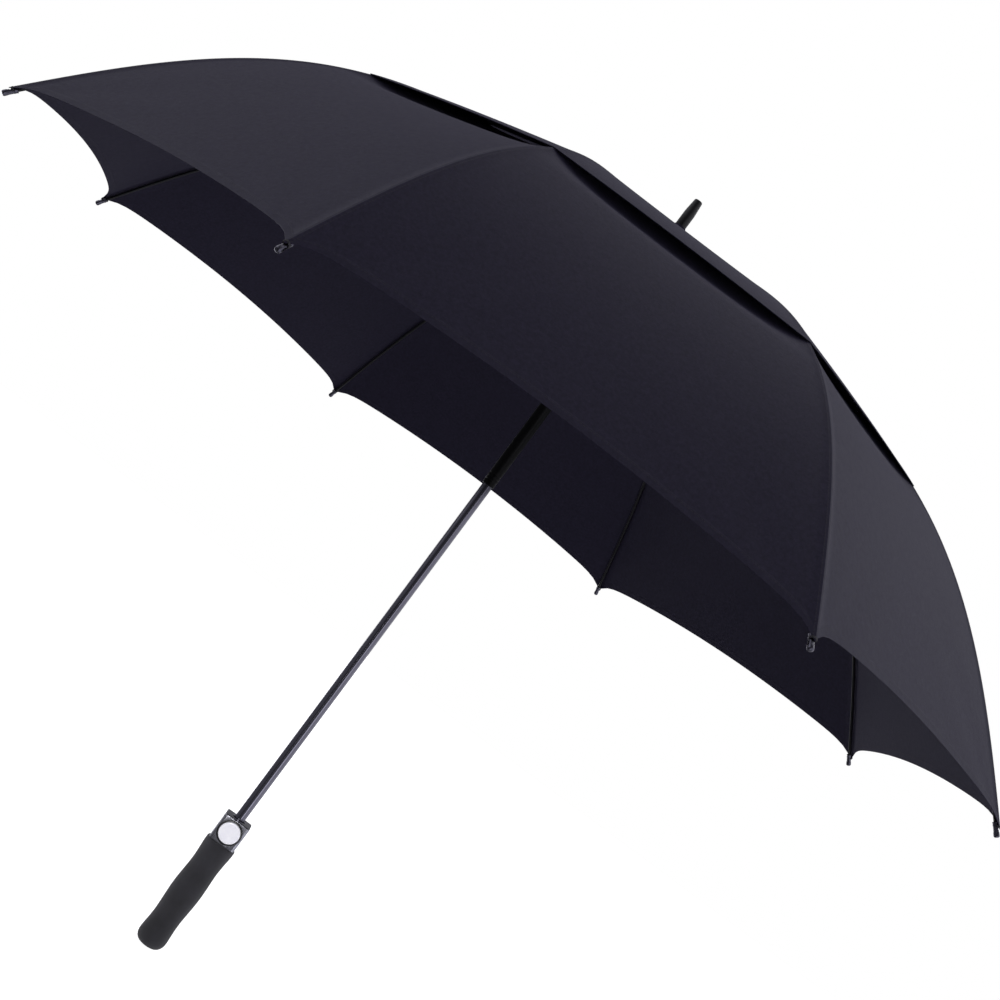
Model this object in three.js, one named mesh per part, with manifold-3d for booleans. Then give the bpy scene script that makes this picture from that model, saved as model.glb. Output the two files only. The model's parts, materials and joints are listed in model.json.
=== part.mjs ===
// A vented golf umbrella, open, with its folding frame. Millimetres, +Z up.
// The origin is the centre of the flat end of the grip, and the shaft runs up the Z axis.
// The release button faces -Y.

import * as THREE from 'three';
import { mergeVertices } from 'three/addons/utils/BufferGeometryUtils.js';
import Module from 'manifold-3d';

const wasm = await Module();
wasm.setup();

// ---------------------------------------------------------------- driving dimensions

const TOTAL_LENGTH = 1016; // grip end to ferrule tip
const CLEARANCE = 0.3; // between pieces that stand next to each other
const CLOTH = 0.6; // thickness of the canopy solids

// Canopy, described along one rib. Lengths named ..._AT are distances along the cloth from the crown.
const RIB_COUNT = 8;
const FIRST_RIB_AZIMUTH = -112.5; // degrees, anticlockwise from +X
const CLOTH_START = new THREE.Vector2(12, 955.95); // radius and height where the rib starts
const CROWN_SLOPE = THREE.MathUtils.degToRad(6); // of the cloth, below the horizontal
const PEAK_BEND = 0.0021284; // radians per millimetre, at BEND_PEAK_AT
const BEND_PEAK_AT = 426;
const TIP_AT = 741.4;
const VENT_AT = 376; // edge of the upper canopy, and the place where the rod starts to flex
const UPPER_INNER_RADIUS = 6.9; // hole in the middle of the upper canopy
const UPPER_SAG = 1; // of the upper canopy, halfway from the crown to its hem
const LOWER_START_AT = 292; // inner edge of the lower canopy, under the upper one
const LOWER_END_AT = 735; // outer corner of the lower canopy, at the tip cap
const LOWER_DEPTH = 1; // lower canopy below the upper one, at a rib
const LOWER_SLACK = 2.2; // sag of the lower canopy between two ribs
const VENT_DIP = 9.4; // how much further it lies under the hem of the upper canopy
const VENT_FLATNESS = 4.5; // how quickly it gets there from a rib
const VENT_FADE = 50; // the lower canopy comes back up over this length
const SCALLOP = 17; // how far the hem draws in between two ribs
const CORNER_HOOK = 13; // and how far it first runs along the rib
const CORNER_WIDTH = 12; // width of that corner

// Frame
const ROD_DEPTH = 5; // centre of the rod below the cloth
const ROD_RADIUS = 2;
const EYE_RADIUS = 2.4;
const EYE_HOLE = 1.1;
const BLADE = 2; // thickness of the flat eye ends
const BLADE_HALF_WIDTH = 1.6;
const BLADE_LENGTH = 7.5; // from the pivot to the full rod
const BLADE_OVERLAP = 2; // of the blade with the rod
const FORK_AT = 362; // where the stretcher holds the rib
const FORK_DROP = 5.5; // from the rod's centre to the fork pivot
const FORK_SLEEVE_RADIUS = 2.6;
const FORK_SLEEVE_INNER = 10; // from the fork to the inner end of its sleeve
const FLEX_CLEARANCE = 0.4; // between the sleeve and the ball at the flex point
const LUG = 3; // thickness of the lug in the fork
const LUG_HALF_WIDTH = 2.3;
const FORK_GAP = 6; // between the two ears of the fork
const EAR = 1.2; // thickness of an ear
const EAR_LENGTH = 19;
const EAR_HALF_WIDTH = 1.9;
const STRETCHER_RADIUS = 1.9;
const FORK_PIN_RADIUS = 0.8;
const CLOSED_LEAN = THREE.MathUtils.degToRad(3.4); // of a stretcher from the shaft, when folded
const TIP_CAP_LENGTH = 15;
const TIP_CAP_RADIUS = 3;
const TIP_CAP_ROUND = 1.8;
const TIP_CAP_WALL = 2.5; // at its closed end
const TIP_CAP_PAST_END = 1.5; // the cap ends this far past the cloth's tip
const ROD_IN_CAP = 4; // the rod ends this far short of the cloth's tip

// Crown and runner
const HUB_RADIUS = 15.5;
const HUB_SLOT = 2.7;
const HUB_SLOT_START = 8.5; // radius
const WIRE_RADIUS = 0.7;
const CROWN_TOP = 953.6;
const CROWN_BOTTOM = 940;
const CROWN_DISC = 6; // thickness of its slotted disc
const CROWN_NECK_RADIUS = 8.3;
const RUNNER_NECK_RADIUS = 8.4;
const RUNNER_BELOW_PIVOT = 4.5; // its slotted disc, below the pivots
const RUNNER_ABOVE_PIVOT = 2.6;
const RUNNER_TOP_ABOVE_PIVOT = 9;
const SLEEVE_BOTTOM = 618; // of the runner
const SLEEVE_RADIUS = 7.5;
const SLEEVE_BORE = 6.3;
const ROSETTE_RADIUS = 14;

// Shaft
const SHAFT_RADIUS = 6;
const SHAFT_BORE = 5;
const SHAFT_BOTTOM = 8;
const SHAFT_TOP = 966;
const PIN_RADIUS = 1.5; // cross pins
const PIN_HOLE = 1.8;
const SET_PIN_Z = 40;
const SET_PIN_HALF_LENGTH = 12;
const STOP_PIN_HALF_LENGTH = 8;
const SLOT_HALF_WIDTH = 1.7;
const SLOT_END_ROOM = 8; // from the plunger's pin to the end of the slot
const PLUNGER_Z = 775;
const PLUNGER_PIN_RADIUS = 1.4;
const PLUNGER_BELOW_PIN = 6.7;
const PLUNGER_ABOVE_PIN = 7;
const PISTON_RADIUS = 4.7;
const SEAT_TOP = SET_PIN_Z + 12; // of the spring seat
const SEAT_HEIGHT = 5;
const SPRING_RADIUS = 4.1; // centre of the wire
const SPRING_WIRE = 0.4;
const SPRING_TURNS = 12;

// Ferrule
const SKIRT_BOTTOM = 956.9;
const SKIRT_TOP = 979;
const SKIRT_RADIUS = 10.5;
const SKIRT_TOP_RADIUS = 7.1;
const SKIRT_RIM = 1.2; // height of its straight edge
const FERRULE_RADIUS = 6.5;
const FERRULE_SHOULDER = 999; // it tapers from here up
const FERRULE_TIP_RADIUS = 5;
const FERRULE_ROUND = 1.4;

// Handle
const GRIP_TOP = 134;
const GRIP_END_RADIUS = 9;
const CORE_RADIUS = 12.6;
const CORE_BOTTOM = 3.3;
const CORE_FLOOR = 5.5;
const CORE_TOP = 136;
const LATCH_CHANNEL_HALF_WIDTH = 3.3;
const SLEEVE_ROOM = 8.1; // bore that takes the runner when the umbrella is closed
const SLEEVE_ROOM_BOTTOM = 66;
const COLLAR_WIDTH = 31.5;
const COLLAR_BOTTOM = 134.5;
const COLLAR_TOP = 165;
const COLLAR_WALL = 2.65;
const COLLAR_TOP_WALL = 2.4;
const COLLAR_CORNER = 3;
const COLLAR_INNER_CORNER = 1.2;
const COLLAR_FACE = -COLLAR_WIDTH / 2;
const BUTTON_Z = 149.6;
const BUTTON_RADIUS = 11.95;
const BUTTON_PROUD = 1.9;
const BUTTON_ROUND = 0.9;
const BUTTON_DOME = 0.5;
const BUTTON_FLANGE = 0.8;
const BUTTON_FLANGE_WIDTH = 0.7;
const BUTTON_BOSS_RADIUS = 4;
const BUTTON_BORE = 12.3;
const BUTTON_RECESS = 1.9; // how much wider the bore is at the collar's face
const BUTTON_RECESS_DEPTH = 1.2;
const LATCH_SHEET = 0.5;
const LATCH_HALF_HEIGHT = 0.6;
const LATCH_FOOT = 98.6; // z of the lower end of the latch spring
const LATCH_OUTSIDE = -11.4; // y of the side of the latch that the button pushes
const LATCH_RING_OUTER = 10.6;
const LATCH_RING_INNER = 8.6;
const LATCH_STRIP_HALF_WIDTH = 2.8;
const LATCH_TOOTH_HALF_WIDTH = 1.6;

// Facets
const ROD_SIDES = 6;
const ROUND_SIDES = 16;
const BUTTON_SIDES = 24;

// ---------------------------------------------------------------- solids from geometries

// A closed three.js geometry as a manifold-3d solid that faces outwards.
function solid(geometry) {
  const bare = new THREE.BufferGeometry();
  bare.setAttribute('position', geometry.getAttribute('position').clone());
  bare.setIndex(geometry.index ? geometry.index.clone() : null);
  const welded = mergeVertices(bare, 1e-3);
  const corners = [];
  const index = welded.index.array;
  for (let i = 0; i < index.length; i += 3) {
    const [a, b, c] = index.slice(i, i + 3);
    if (a !== b && b !== c && c !== a) corners.push(a, b, c);
  }
  const make = (triVerts) => new wasm.Manifold(new wasm.Mesh({
    numProp: 3,
    vertProperties: welded.getAttribute('position').array,
    triVerts: new Uint32Array(triVerts),
  }));
  const made = make(corners);
  return made.volume() < 0 ? make(corners.reverse()) : made;
}

function geometryOf(body) {
  const { numProp, vertProperties, triVerts } = body.getMesh();
  const positions = new Float32Array((vertProperties.length / numProp) * 3);
  for (let i = 0; i < positions.length / 3; i += 1) {
    positions.set(vertProperties.subarray(i * numProp, i * numProp + 3), i * 3);
  }
  const geometry = new THREE.BufferGeometry();
  geometry.setAttribute('position', new THREE.BufferAttribute(positions, 3));
  geometry.setIndex(new THREE.BufferAttribute(triVerts.slice(), 1));
  geometry.computeVertexNormals();
  return geometry;
}

// Joins the first solid with the rest, or cuts the rest out of it.
const join = (first, ...rest) => rest.reduce((whole, piece) => whole.add(piece), first);
const cut = (first, ...rest) => rest.reduce((whole, piece) => whole.subtract(piece), first);

// ---------------------------------------------------------------- shapes that repeat

// A turned piece about the Z axis. The profile is a list of [radius, z].
function turned(profile, { closed = false, sides = ROUND_SIDES } = {}) {
  const points = profile.map(([radius, z]) => new THREE.Vector2(radius, z));
  if (closed) points.push(points[0].clone());
  return solid(new THREE.LatheGeometry(points, sides).rotateX(Math.PI / 2));
}

// The rounded edge at the top of a turned piece, as profile points.
function quarterRound(radius, top, round) {
  const arc = new THREE.EllipseCurve(radius - round, top - round, round, round, 0, Math.PI / 2);
  return arc.getPoints(2).map((point) => [point.x, point.y]);
}

// A plain ring about the Z axis.
function ring(inner, outer, bottom, top) {
  return turned([[inner, bottom], [outer, bottom], [outer, top], [inner, top]], { closed: true });
}

function block(xRange, yRange, zRange) {
  const [sizes, middles] = [[], []];
  for (const [low, high] of [xRange, yRange, zRange]) {
    sizes.push(high - low);
    middles.push((high + low) / 2);
  }
  return solid(new THREE.BoxGeometry(...sizes).translate(...middles));
}

// A cylinder along X or Y, from one end to the other.
function crossRod(axis, radius, from, to, z, sides = 8) {
  const rod = new THREE.CylinderGeometry(radius, radius, to - from, sides);
  rod.translate(0, (from + to) / 2, 0);
  if (axis === 'x') rod.rotateZ(-Math.PI / 2);
  return solid(rod.translate(0, 0, z));
}

// A rod swept along a curve.
function rodAlong(curve, radius, steps, sides = ROD_SIDES) {
  const section = new THREE.Shape();
  for (let i = 0; i < sides; i += 1) {
    const angle = ((i + 0.5) / sides) * 2 * Math.PI;
    const [x, y] = [radius * Math.cos(angle), radius * Math.sin(angle)];
    if (i === 0) section.moveTo(x, y);
    else section.lineTo(x, y);
  }
  return solid(new THREE.ExtrudeGeometry(section, { steps, bevelEnabled: false, extrudePath: curve }));
}

// A flat plate that lies in the rib plane, with half of its thickness on each side of it.
function plate(shape, thickness) {
  const flat = new THREE.ExtrudeGeometry(shape, {
    depth: thickness,
    bevelEnabled: false,
    curveSegments: 4,
  });
  return flat.rotateX(Math.PI / 2).translate(0, thickness / 2, 0);
}

// Puts a piece drawn along +X at a point of the rib plane, sloping down by an angle.
const placed = (geometry, point, slope) => geometry.rotateY(slope).translate(point.x, point.y, point.z);

// An eye at the origin with a strap from it along +X.
function eyeShape(strapLength, strapHalfWidth, hole) {
  const meet = Math.asin(strapHalfWidth / EYE_RADIUS);
  const shape = new THREE.Shape();
  shape.absarc(0, 0, EYE_RADIUS, meet, 2 * Math.PI - meet);
  shape.lineTo(strapLength, -strapHalfWidth);
  shape.lineTo(strapLength, strapHalfWidth);
  if (hole > 0) shape.holes.push(new THREE.Path().absarc(0, 0, hole, 0, 2 * Math.PI, true));
  return shape;
}

// A sheet of cloth as a closed solid. outer and inner are grids of points, row by row.
function sheet(outer, inner, wrap) {
  const rows = outer.length;
  const columns = outer[0].length;
  const positions = [];
  for (const grid of [outer, inner]) {
    for (const point of grid.flat()) positions.push(point.x, point.y, point.z);
  }
  const at = (side, row, column) => (side * rows + row) * columns + (column % columns);
  const corners = [];
  const quad = (a, b, c, d) => corners.push(a, b, c, a, c, d);
  const spans = wrap ? columns : columns - 1;
  for (let column = 0; column < spans; column += 1) {
    for (let row = 0; row < rows - 1; row += 1) {
      const next = column + 1;
      quad(at(0, row, column), at(0, row + 1, column), at(0, row + 1, next), at(0, row, next));
      quad(at(1, row, column), at(1, row, next), at(1, row + 1, next), at(1, row + 1, column));
    }
    const last = rows - 1;
    quad(at(0, 0, column), at(0, 0, column + 1), at(1, 0, column + 1), at(1, 0, column));
    quad(at(0, last, column), at(1, last, column), at(1, last, column + 1), at(0, last, column + 1));
  }
  if (!wrap) {
    const end = columns - 1;
    for (let row = 0; row < rows - 1; row += 1) {
      quad(at(0, row, 0), at(1, row, 0), at(1, row + 1, 0), at(0, row + 1, 0));
      quad(at(0, row, end), at(0, row + 1, end), at(1, row + 1, end), at(1, row, end));
    }
  }
  const geometry = new THREE.BufferGeometry();
  geometry.setAttribute('position', new THREE.Float32BufferAttribute(positions, 3));
  geometry.setIndex(corners);
  return solid(geometry);
}

// ---------------------------------------------------------------- the rib line and the linkage

// Slope of the cloth below the horizontal. The bend grows steadily to its peak, then dies away.
function slopeAt(s) {
  const rise = Math.min(s, BEND_PEAK_AT);
  const fall = Math.max(s - BEND_PEAK_AT, 0);
  const bent = (rise * rise) / (2 * BEND_PEAK_AT) + fall - (fall * fall) / (2 * (TIP_AT - BEND_PEAK_AT));
  return CROWN_SLOPE + PEAK_BEND * bent;
}

// Radius and height of the line at a depth below the cloth, by summing short chords along it.
function lineAt(s, depth) {
  const steps = Math.max(1, Math.ceil(Math.abs(s) / 3));
  const step = s / steps;
  let [radius, height] = [CLOTH_START.x, CLOTH_START.y];
  for (let i = 0; i < steps; i += 1) {
    const slope = slopeAt((i + 0.5) * step);
    radius += step * Math.cos(slope);
    height -= step * Math.sin(slope);
  }
  const slope = slopeAt(s);
  return new THREE.Vector3(radius - depth * Math.sin(slope), 0, height - depth * Math.cos(slope));
}

const rodPoint = (s) => lineAt(s, ROD_DEPTH);

const crownPivot = rodPoint(0);
const forkPivot = lineAt(FORK_AT, ROD_DEPTH + FORK_DROP);
const flexPivot = rodPoint(VENT_AT);
// The stretcher is as long as the rib's own link, and both hubs hold their pivots at one radius, so
// the runner stays square on the shaft.
const runnerPivot = new THREE.Vector3(crownPivot.x, 0, 2 * forkPivot.z - crownPivot.z);
const linkLength = forkPivot.distanceTo(crownPivot);
const runnerTravel = 2 * linkLength * Math.cos(CLOSED_LEAN) - (crownPivot.z - runnerPivot.z);
const runnerTop = runnerPivot.z + RUNNER_TOP_ABOVE_PIVOT;
const stopZ = runnerTop + PIN_RADIUS + 0.5; // the stop pin stands just over the open runner

// The centre line of the rod between two distances along the rib.
class RodLine extends THREE.Curve {
  constructor(from, to) {
    super();
    this.from = from;
    this.to = to;
  }

  getPoint(t) {
    return rodPoint(this.from + t * (this.to - this.from));
  }
}

// ---------------------------------------------------------------- canopy

// A point of the cloth in the frame of a rib. across runs from the rib, 0, to the middle of the panel
// on its left, 1, or on its right, -1. drop moves it inwards from the flat panel.
function clothPoint(s, across, depth, drop) {
  const onRib = lineAt(s, depth);
  const halfAngle = Math.PI / RIB_COUNT;
  const side = Math.sign(across);
  const middle = new THREE.Vector3(Math.cos(halfAngle), side * Math.sin(halfAngle), 0);
  middle.multiplyScalar(onRib.x * Math.cos(halfAngle)).setZ(onRib.z);
  const slope = Math.atan(Math.tan(slopeAt(s)) / Math.cos(halfAngle));
  const inward = new THREE.Vector3(
    -Math.sin(slope) * Math.cos(halfAngle),
    -Math.sin(slope) * Math.sin(halfAngle) * side,
    -Math.cos(slope),
  );
  return onRib.lerp(middle, Math.abs(across)).addScaledVector(inward, drop);
}

// The sag of a stretched panel across its width, as a share of the sag in its middle.
const sagShare = (share) => share * (2 - share);

function upperDrop(s, share) {
  return UPPER_SAG * Math.sin(Math.PI * Math.max(0, s / VENT_AT)) * sagShare(share);
}

function lowerDrop(s, share) {
  const lifted = THREE.MathUtils.smoothstep(s, VENT_AT, VENT_AT + VENT_FADE);
  const dipWidth = 1 - (1 - share) ** VENT_FLATNESS;
  return LOWER_SLACK * sagShare(share) + VENT_DIP * dipWidth * (1 - lifted);
}

// The hem runs a little way along the rib, then curves over to the next one.
function lowerEnd(share) {
  const halfWidth = lineAt(LOWER_END_AT, 0).x * Math.sin(Math.PI / RIB_COUNT);
  const hook = 1 - Math.exp((-share * halfWidth) / CORNER_WIDTH);
  return LOWER_END_AT - SCALLOP * sagShare(share) - CORNER_HOOK * hook;
}

function upperCanopy() {
  const start = UPPER_INNER_RADIUS - CLOTH_START.x;
  const rows = 11;
  const up = new THREE.Vector3(0, 0, 1);
  const gridAt = (depth) => {
    const grid = [];
    for (let row = 0; row < rows; row += 1) {
      const s = start + ((VENT_AT - start) * row) / (rows - 1);
      const line = [];
      for (let i = 0; i < RIB_COUNT; i += 1) {
        const azimuth = THREE.MathUtils.degToRad(FIRST_RIB_AZIMUTH + (i * 360) / RIB_COUNT);
        for (const across of [0, 1]) {
          const point = clothPoint(s, across, depth, upperDrop(s, across));
          line.push(point.applyAxisAngle(up, azimuth));
        }
      }
      grid.push(line);
    }
    return grid;
  };
  return sheet(gridAt(0), gridAt(CLOTH), true);
}

// One eighth of the lower canopy, from mid-panel to mid-panel about a rib.
function lowerCanopy() {
  const rows = 11;
  const shares = [-1, -0.5, 0, 0.5, 1];
  const gridAt = (depth) => {
    const grid = [];
    for (let row = 0; row < rows; row += 1) {
      grid.push(shares.map((side) => {
        const share = Math.abs(side);
        const s = LOWER_START_AT + ((lowerEnd(share) - LOWER_START_AT) * row) / (rows - 1);
        const halfWidth = lineAt(s, depth).x * Math.sin(Math.PI / RIB_COUNT);
        return clothPoint(s, side * (1 - CLEARANCE / halfWidth), depth, lowerDrop(s, share));
      }));
    }
    return grid;
  };
  return sheet(gridAt(LOWER_DEPTH), gridAt(LOWER_DEPTH + CLOTH), false);
}

// ---------------------------------------------------------------- frame pieces, in the rib plane

// From the crown to the flex point, with the eye at the crown and the lug for the stretcher's fork.
function rib() {
  const sleeveEnd = VENT_AT - FORK_SLEEVE_RADIUS - FLEX_CLEARANCE;
  const rod = rodAlong(new RodLine(BLADE_LENGTH, sleeveEnd), ROD_RADIUS, 6);
  const sleeve = rodAlong(new RodLine(FORK_AT - FORK_SLEEVE_INNER, sleeveEnd), FORK_SLEEVE_RADIUS, 1);
  const eye = plate(eyeShape(BLADE_LENGTH + BLADE_OVERLAP, BLADE_HALF_WIDTH, EYE_HOLE), BLADE);
  const lug = plate(eyeShape(FORK_DROP, LUG_HALF_WIDTH, EYE_HOLE), LUG);
  return join(
    rod,
    sleeve,
    solid(placed(eye, crownPivot, CROWN_SLOPE)),
    solid(placed(lug, forkPivot, slopeAt(FORK_AT) - Math.PI / 2)),
  );
}

// From the flex point to the tip. Its ball end stands where the real rod starts to bend.
function outerRib() {
  const ball = new THREE.SphereGeometry(FORK_SLEEVE_RADIUS, 8, 6);
  ball.translate(flexPivot.x, 0, flexPivot.z);
  return join(rodAlong(new RodLine(VENT_AT, TIP_AT - ROD_IN_CAP), ROD_RADIUS, 6), solid(ball));
}

// The cap over the end of the rod, which also holds the corner of the cloth.
function ribTip() {
  const bore = ROD_RADIUS + CLEARANCE;
  const boreDepth = TIP_CAP_LENGTH - TIP_CAP_WALL;
  const points = [[0, boreDepth], [bore, boreDepth], [bore, 0], [TIP_CAP_RADIUS, 0]];
  points.push(...quarterRound(TIP_CAP_RADIUS, TIP_CAP_LENGTH, TIP_CAP_ROUND), [0, TIP_CAP_LENGTH]);
  const cap = new THREE.LatheGeometry(points.map(([radius, z]) => new THREE.Vector2(radius, z)), 8);
  const start = TIP_AT + TIP_CAP_PAST_END - TIP_CAP_LENGTH;
  return solid(placed(cap.rotateZ(-Math.PI / 2), rodPoint(start), slopeAt(start + TIP_CAP_LENGTH / 2)));
}

// The strut from the runner to the rib, with an eye for the runner and a fork that straddles the lug.
function stretcher() {
  const forkStart = linkLength - EAR_LENGTH;
  const bridge = { inner: forkStart - 5, outer: forkStart + 1, half: FORK_GAP / 2 + EAR };
  const line = new THREE.LineCurve3(
    new THREE.Vector3(BLADE_LENGTH, 0, 0),
    new THREE.Vector3(bridge.inner + 2, 0, 0),
  );
  const rod = rodAlong(line, STRETCHER_RADIUS, 1);
  const eye = solid(plate(eyeShape(BLADE_LENGTH + BLADE_OVERLAP, BLADE_HALF_WIDTH, EYE_HOLE), BLADE));
  const bridgeBody = block(
    [bridge.inner, bridge.outer],
    [-bridge.half, bridge.half],
    [-EAR_HALF_WIDTH, EAR_HALF_WIDTH],
  );
  const ears = [-1, 1].map((side) => {
    const ear = plate(eyeShape(EAR_LENGTH, EAR_HALF_WIDTH, 0), EAR).rotateZ(Math.PI);
    return solid(ear.translate(linkLength, side * (FORK_GAP + EAR) / 2, 0));
  });
  const pinLength = 2 * bridge.half - 0.4;
  const pin = new THREE.CylinderGeometry(FORK_PIN_RADIUS, FORK_PIN_RADIUS, pinLength, ROD_SIDES);
  const whole = join(rod, eye, bridgeBody, ...ears, solid(pin.translate(linkLength, 0, 0)));
  const rise = Math.atan2(forkPivot.z - runnerPivot.z, forkPivot.x - runnerPivot.x);
  return solid(placed(geometryOf(whole), runnerPivot, -rise));
}

// ---------------------------------------------------------------- crown and runner

// Eight slots for the eye ends, and the groove that the ring wire lies in.
function hubCuts(bottom, top, pivotZ) {
  const slots = [];
  for (let i = 0; i < RIB_COUNT; i += 1) {
    const depth = HUB_RADIUS - HUB_SLOT_START + 5;
    const slot = new THREE.BoxGeometry(depth, HUB_SLOT, top - bottom + 2);
    slot.translate(HUB_SLOT_START + depth / 2, 0, (top + bottom) / 2);
    slot.rotateZ(THREE.MathUtils.degToRad(FIRST_RIB_AZIMUTH) + (i * 2 * Math.PI) / RIB_COUNT);
    slots.push(solid(slot));
  }
  const room = WIRE_RADIUS + CLEARANCE;
  const groove = ring(crownPivot.x - room, crownPivot.x + room, pivotZ - room, top + 1);
  return [...slots, groove];
}

function crown() {
  const under = CROWN_TOP - CROWN_DISC;
  const body = turned([
    [SLEEVE_BORE, CROWN_BOTTOM], [CROWN_NECK_RADIUS, CROWN_BOTTOM], [CROWN_NECK_RADIUS, under - 1],
    [HUB_RADIUS, under], [HUB_RADIUS, CROWN_TOP], [SLEEVE_BORE, CROWN_TOP],
  ], { closed: true });
  return cut(body, ...hubCuts(under - 1, CROWN_TOP, crownPivot.z));
}

// The slotted disc, the flare under it and the long sleeve. The window behind the sleeve's lower half
// is for the latch's tooth, and the hole above it for the pin of the spring's plunger.
function runner() {
  const under = runnerPivot.z - RUNNER_BELOW_PIVOT;
  const over = runnerPivot.z + RUNNER_ABOVE_PIVOT;
  const flare = { bottom: under - 9, waist: under - 3, waistRadius: HUB_RADIUS - 4 };
  const body = turned([
    [SLEEVE_BORE, SLEEVE_BOTTOM], [SLEEVE_RADIUS, SLEEVE_BOTTOM], [SLEEVE_RADIUS, flare.bottom],
    [flare.waistRadius, flare.waist], [HUB_RADIUS, under], [HUB_RADIUS, over],
    [RUNNER_NECK_RADIUS, over], [RUNNER_NECK_RADIUS, runnerTop], [SLEEVE_BORE, runnerTop],
  ], { closed: true });
  const latchZ = BUTTON_Z + runnerTravel;
  const windowHalfWidth = LATCH_TOOTH_HALF_WIDTH + 0.7;
  const behind = [4, 9];
  const window = block([-windowHalfWidth, windowHalfWidth], behind, [latchZ - 2.2, latchZ + 2.8]);
  const pinHole = crossRod('y', PLUNGER_PIN_RADIUS + CLEARANCE, ...behind, PLUNGER_Z);
  return cut(body, ...hubCuts(flare.bottom, over, runnerPivot.z), window, pinHole);
}

function ringWire(z) {
  return solid(new THREE.TorusGeometry(crownPivot.x, WIRE_RADIUS, 5, ROUND_SIDES).translate(0, 0, z));
}

// ---------------------------------------------------------------- shaft, spring and ferrule

// The slot at the back lets the plunger's pin travel with the runner.
function shaftTube() {
  const tube = ring(SHAFT_BORE, SHAFT_RADIUS, SHAFT_BOTTOM, SHAFT_TOP);
  const slotBottom = PLUNGER_Z - runnerTravel - SLOT_END_ROOM;
  const behind = [3, SHAFT_RADIUS + 2];
  const slot = block([-SLOT_HALF_WIDTH, SLOT_HALF_WIDTH], behind, [slotBottom, PLUNGER_Z + SLOT_END_ROOM]);
  const pinHoles = [SET_PIN_Z, stopZ].map((z) => crossRod('x', PIN_HOLE, -8, 8, z));
  return cut(tube, slot, ...pinHoles);
}

const crossPin = (z, halfLength) => crossRod('x', PIN_RADIUS, -halfLength, halfLength, z);

// A plain round plug on the shaft's axis.
const plug = (bottom, top) => turned([
  [0, bottom], [PISTON_RADIUS, bottom], [PISTON_RADIUS, top], [0, top],
]);

const springPlunger = () => join(
  plug(PLUNGER_Z - PLUNGER_BELOW_PIN, PLUNGER_Z + PLUNGER_ABOVE_PIN),
  crossRod('y', PLUNGER_PIN_RADIUS, 0, SLEEVE_RADIUS - 0.2, PLUNGER_Z),
);

const springSeat = () => plug(SEAT_TOP - SEAT_HEIGHT, SEAT_TOP);

class Helix extends THREE.Curve {
  constructor(bottom, top) {
    super();
    this.bottom = bottom;
    this.top = top;
  }

  getPoint(t) {
    const angle = t * SPRING_TURNS * 2 * Math.PI;
    const z = this.bottom + t * (this.top - this.bottom);
    return new THREE.Vector3(SPRING_RADIUS * Math.cos(angle), SPRING_RADIUS * Math.sin(angle), z);
  }
}

function mainSpring() {
  const room = 2 * SPRING_WIRE;
  const line = new Helix(SEAT_TOP + room, PLUNGER_Z - PLUNGER_BELOW_PIN - room);
  return rodAlong(line, SPRING_WIRE, SPRING_TURNS * 8, 3);
}

// The cloth washer that keeps the crown off the canopy.
const topRosette = () => ring(
  SLEEVE_BORE + CLEARANCE,
  ROSETTE_RADIUS,
  CROWN_TOP + CLEARANCE,
  CROWN_TOP + CLEARANCE + CLOTH,
);

// The spike over the crown. Its stem stands inside the top of the shaft, its skirt around it.
function ferrule() {
  const overShaft = SHAFT_TOP + CLEARANCE;
  const skirt = new THREE.QuadraticBezierCurve(
    new THREE.Vector2(SKIRT_RADIUS, SKIRT_BOTTOM + SKIRT_RIM),
    new THREE.Vector2(SKIRT_TOP_RADIUS + 0.6, SKIRT_BOTTOM + 8),
    new THREE.Vector2(SKIRT_TOP_RADIUS, SKIRT_TOP),
  );
  return turned([
    [0, CROWN_BOTTOM], [PISTON_RADIUS, CROWN_BOTTOM], [PISTON_RADIUS, overShaft],
    [SLEEVE_BORE, overShaft], [SLEEVE_BORE, SKIRT_BOTTOM], [SKIRT_RADIUS, SKIRT_BOTTOM],
    ...skirt.getPoints(4).map((point) => [point.x, point.y]), [FERRULE_RADIUS, SKIRT_TOP + 0.6],
    [FERRULE_RADIUS, FERRULE_SHOULDER],
    ...quarterRound(FERRULE_TIP_RADIUS, TOTAL_LENGTH, FERRULE_ROUND), [0, TOTAL_LENGTH],
  ]);
}

// ---------------------------------------------------------------- handle

function handleCore() {
  const body = turned([
    [0, CORE_BOTTOM], [CORE_RADIUS, CORE_BOTTOM], [CORE_RADIUS, CORE_TOP], [SLEEVE_ROOM, CORE_TOP],
    [SLEEVE_ROOM, SLEEVE_ROOM_BOTTOM], [SLEEVE_BORE, SLEEVE_ROOM_BOTTOM], [SLEEVE_BORE, CORE_FLOOR],
    [0, CORE_FLOOR],
  ]);
  const latchChannel = block(
    [-LATCH_CHANNEL_HALF_WIDTH, LATCH_CHANNEL_HALF_WIDTH],
    [LATCH_OUTSIDE - CLEARANCE, -SHAFT_RADIUS],
    [LATCH_FOOT - CLEARANCE, CORE_TOP + 1],
  );
  return cut(body, latchChannel, crossRod('x', PIN_HOLE, -15, 15, SET_PIN_Z));
}

// Foam sleeve over the core, waisted twice, closed at the end that it rests on.
function handleGrip() {
  const widths = [[14.6, 2.2], [17.1, 12], [15.9, 36], [17.6, 70], [16.4, 103], [17.9, 127]];
  const shoulder = { round: 1.6, radius: 17.1 };
  widths.push([shoulder.radius, GRIP_TOP - shoulder.round]);
  const outline = new THREE.SplineCurve(widths.map(([radius, z]) => new THREE.Vector2(radius, z)));
  const side = outline.getPoints(14).map((point) => [point.x, point.y]);
  const bore = CORE_RADIUS + CLEARANCE;
  const end = CORE_BOTTOM - CLEARANCE;
  return turned([
    [0, 0], [GRIP_END_RADIUS, 0], ...side, [shoulder.radius - shoulder.round + 0.1, GRIP_TOP],
    [bore, GRIP_TOP], [bore, end], [0, end],
  ]);
}

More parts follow.
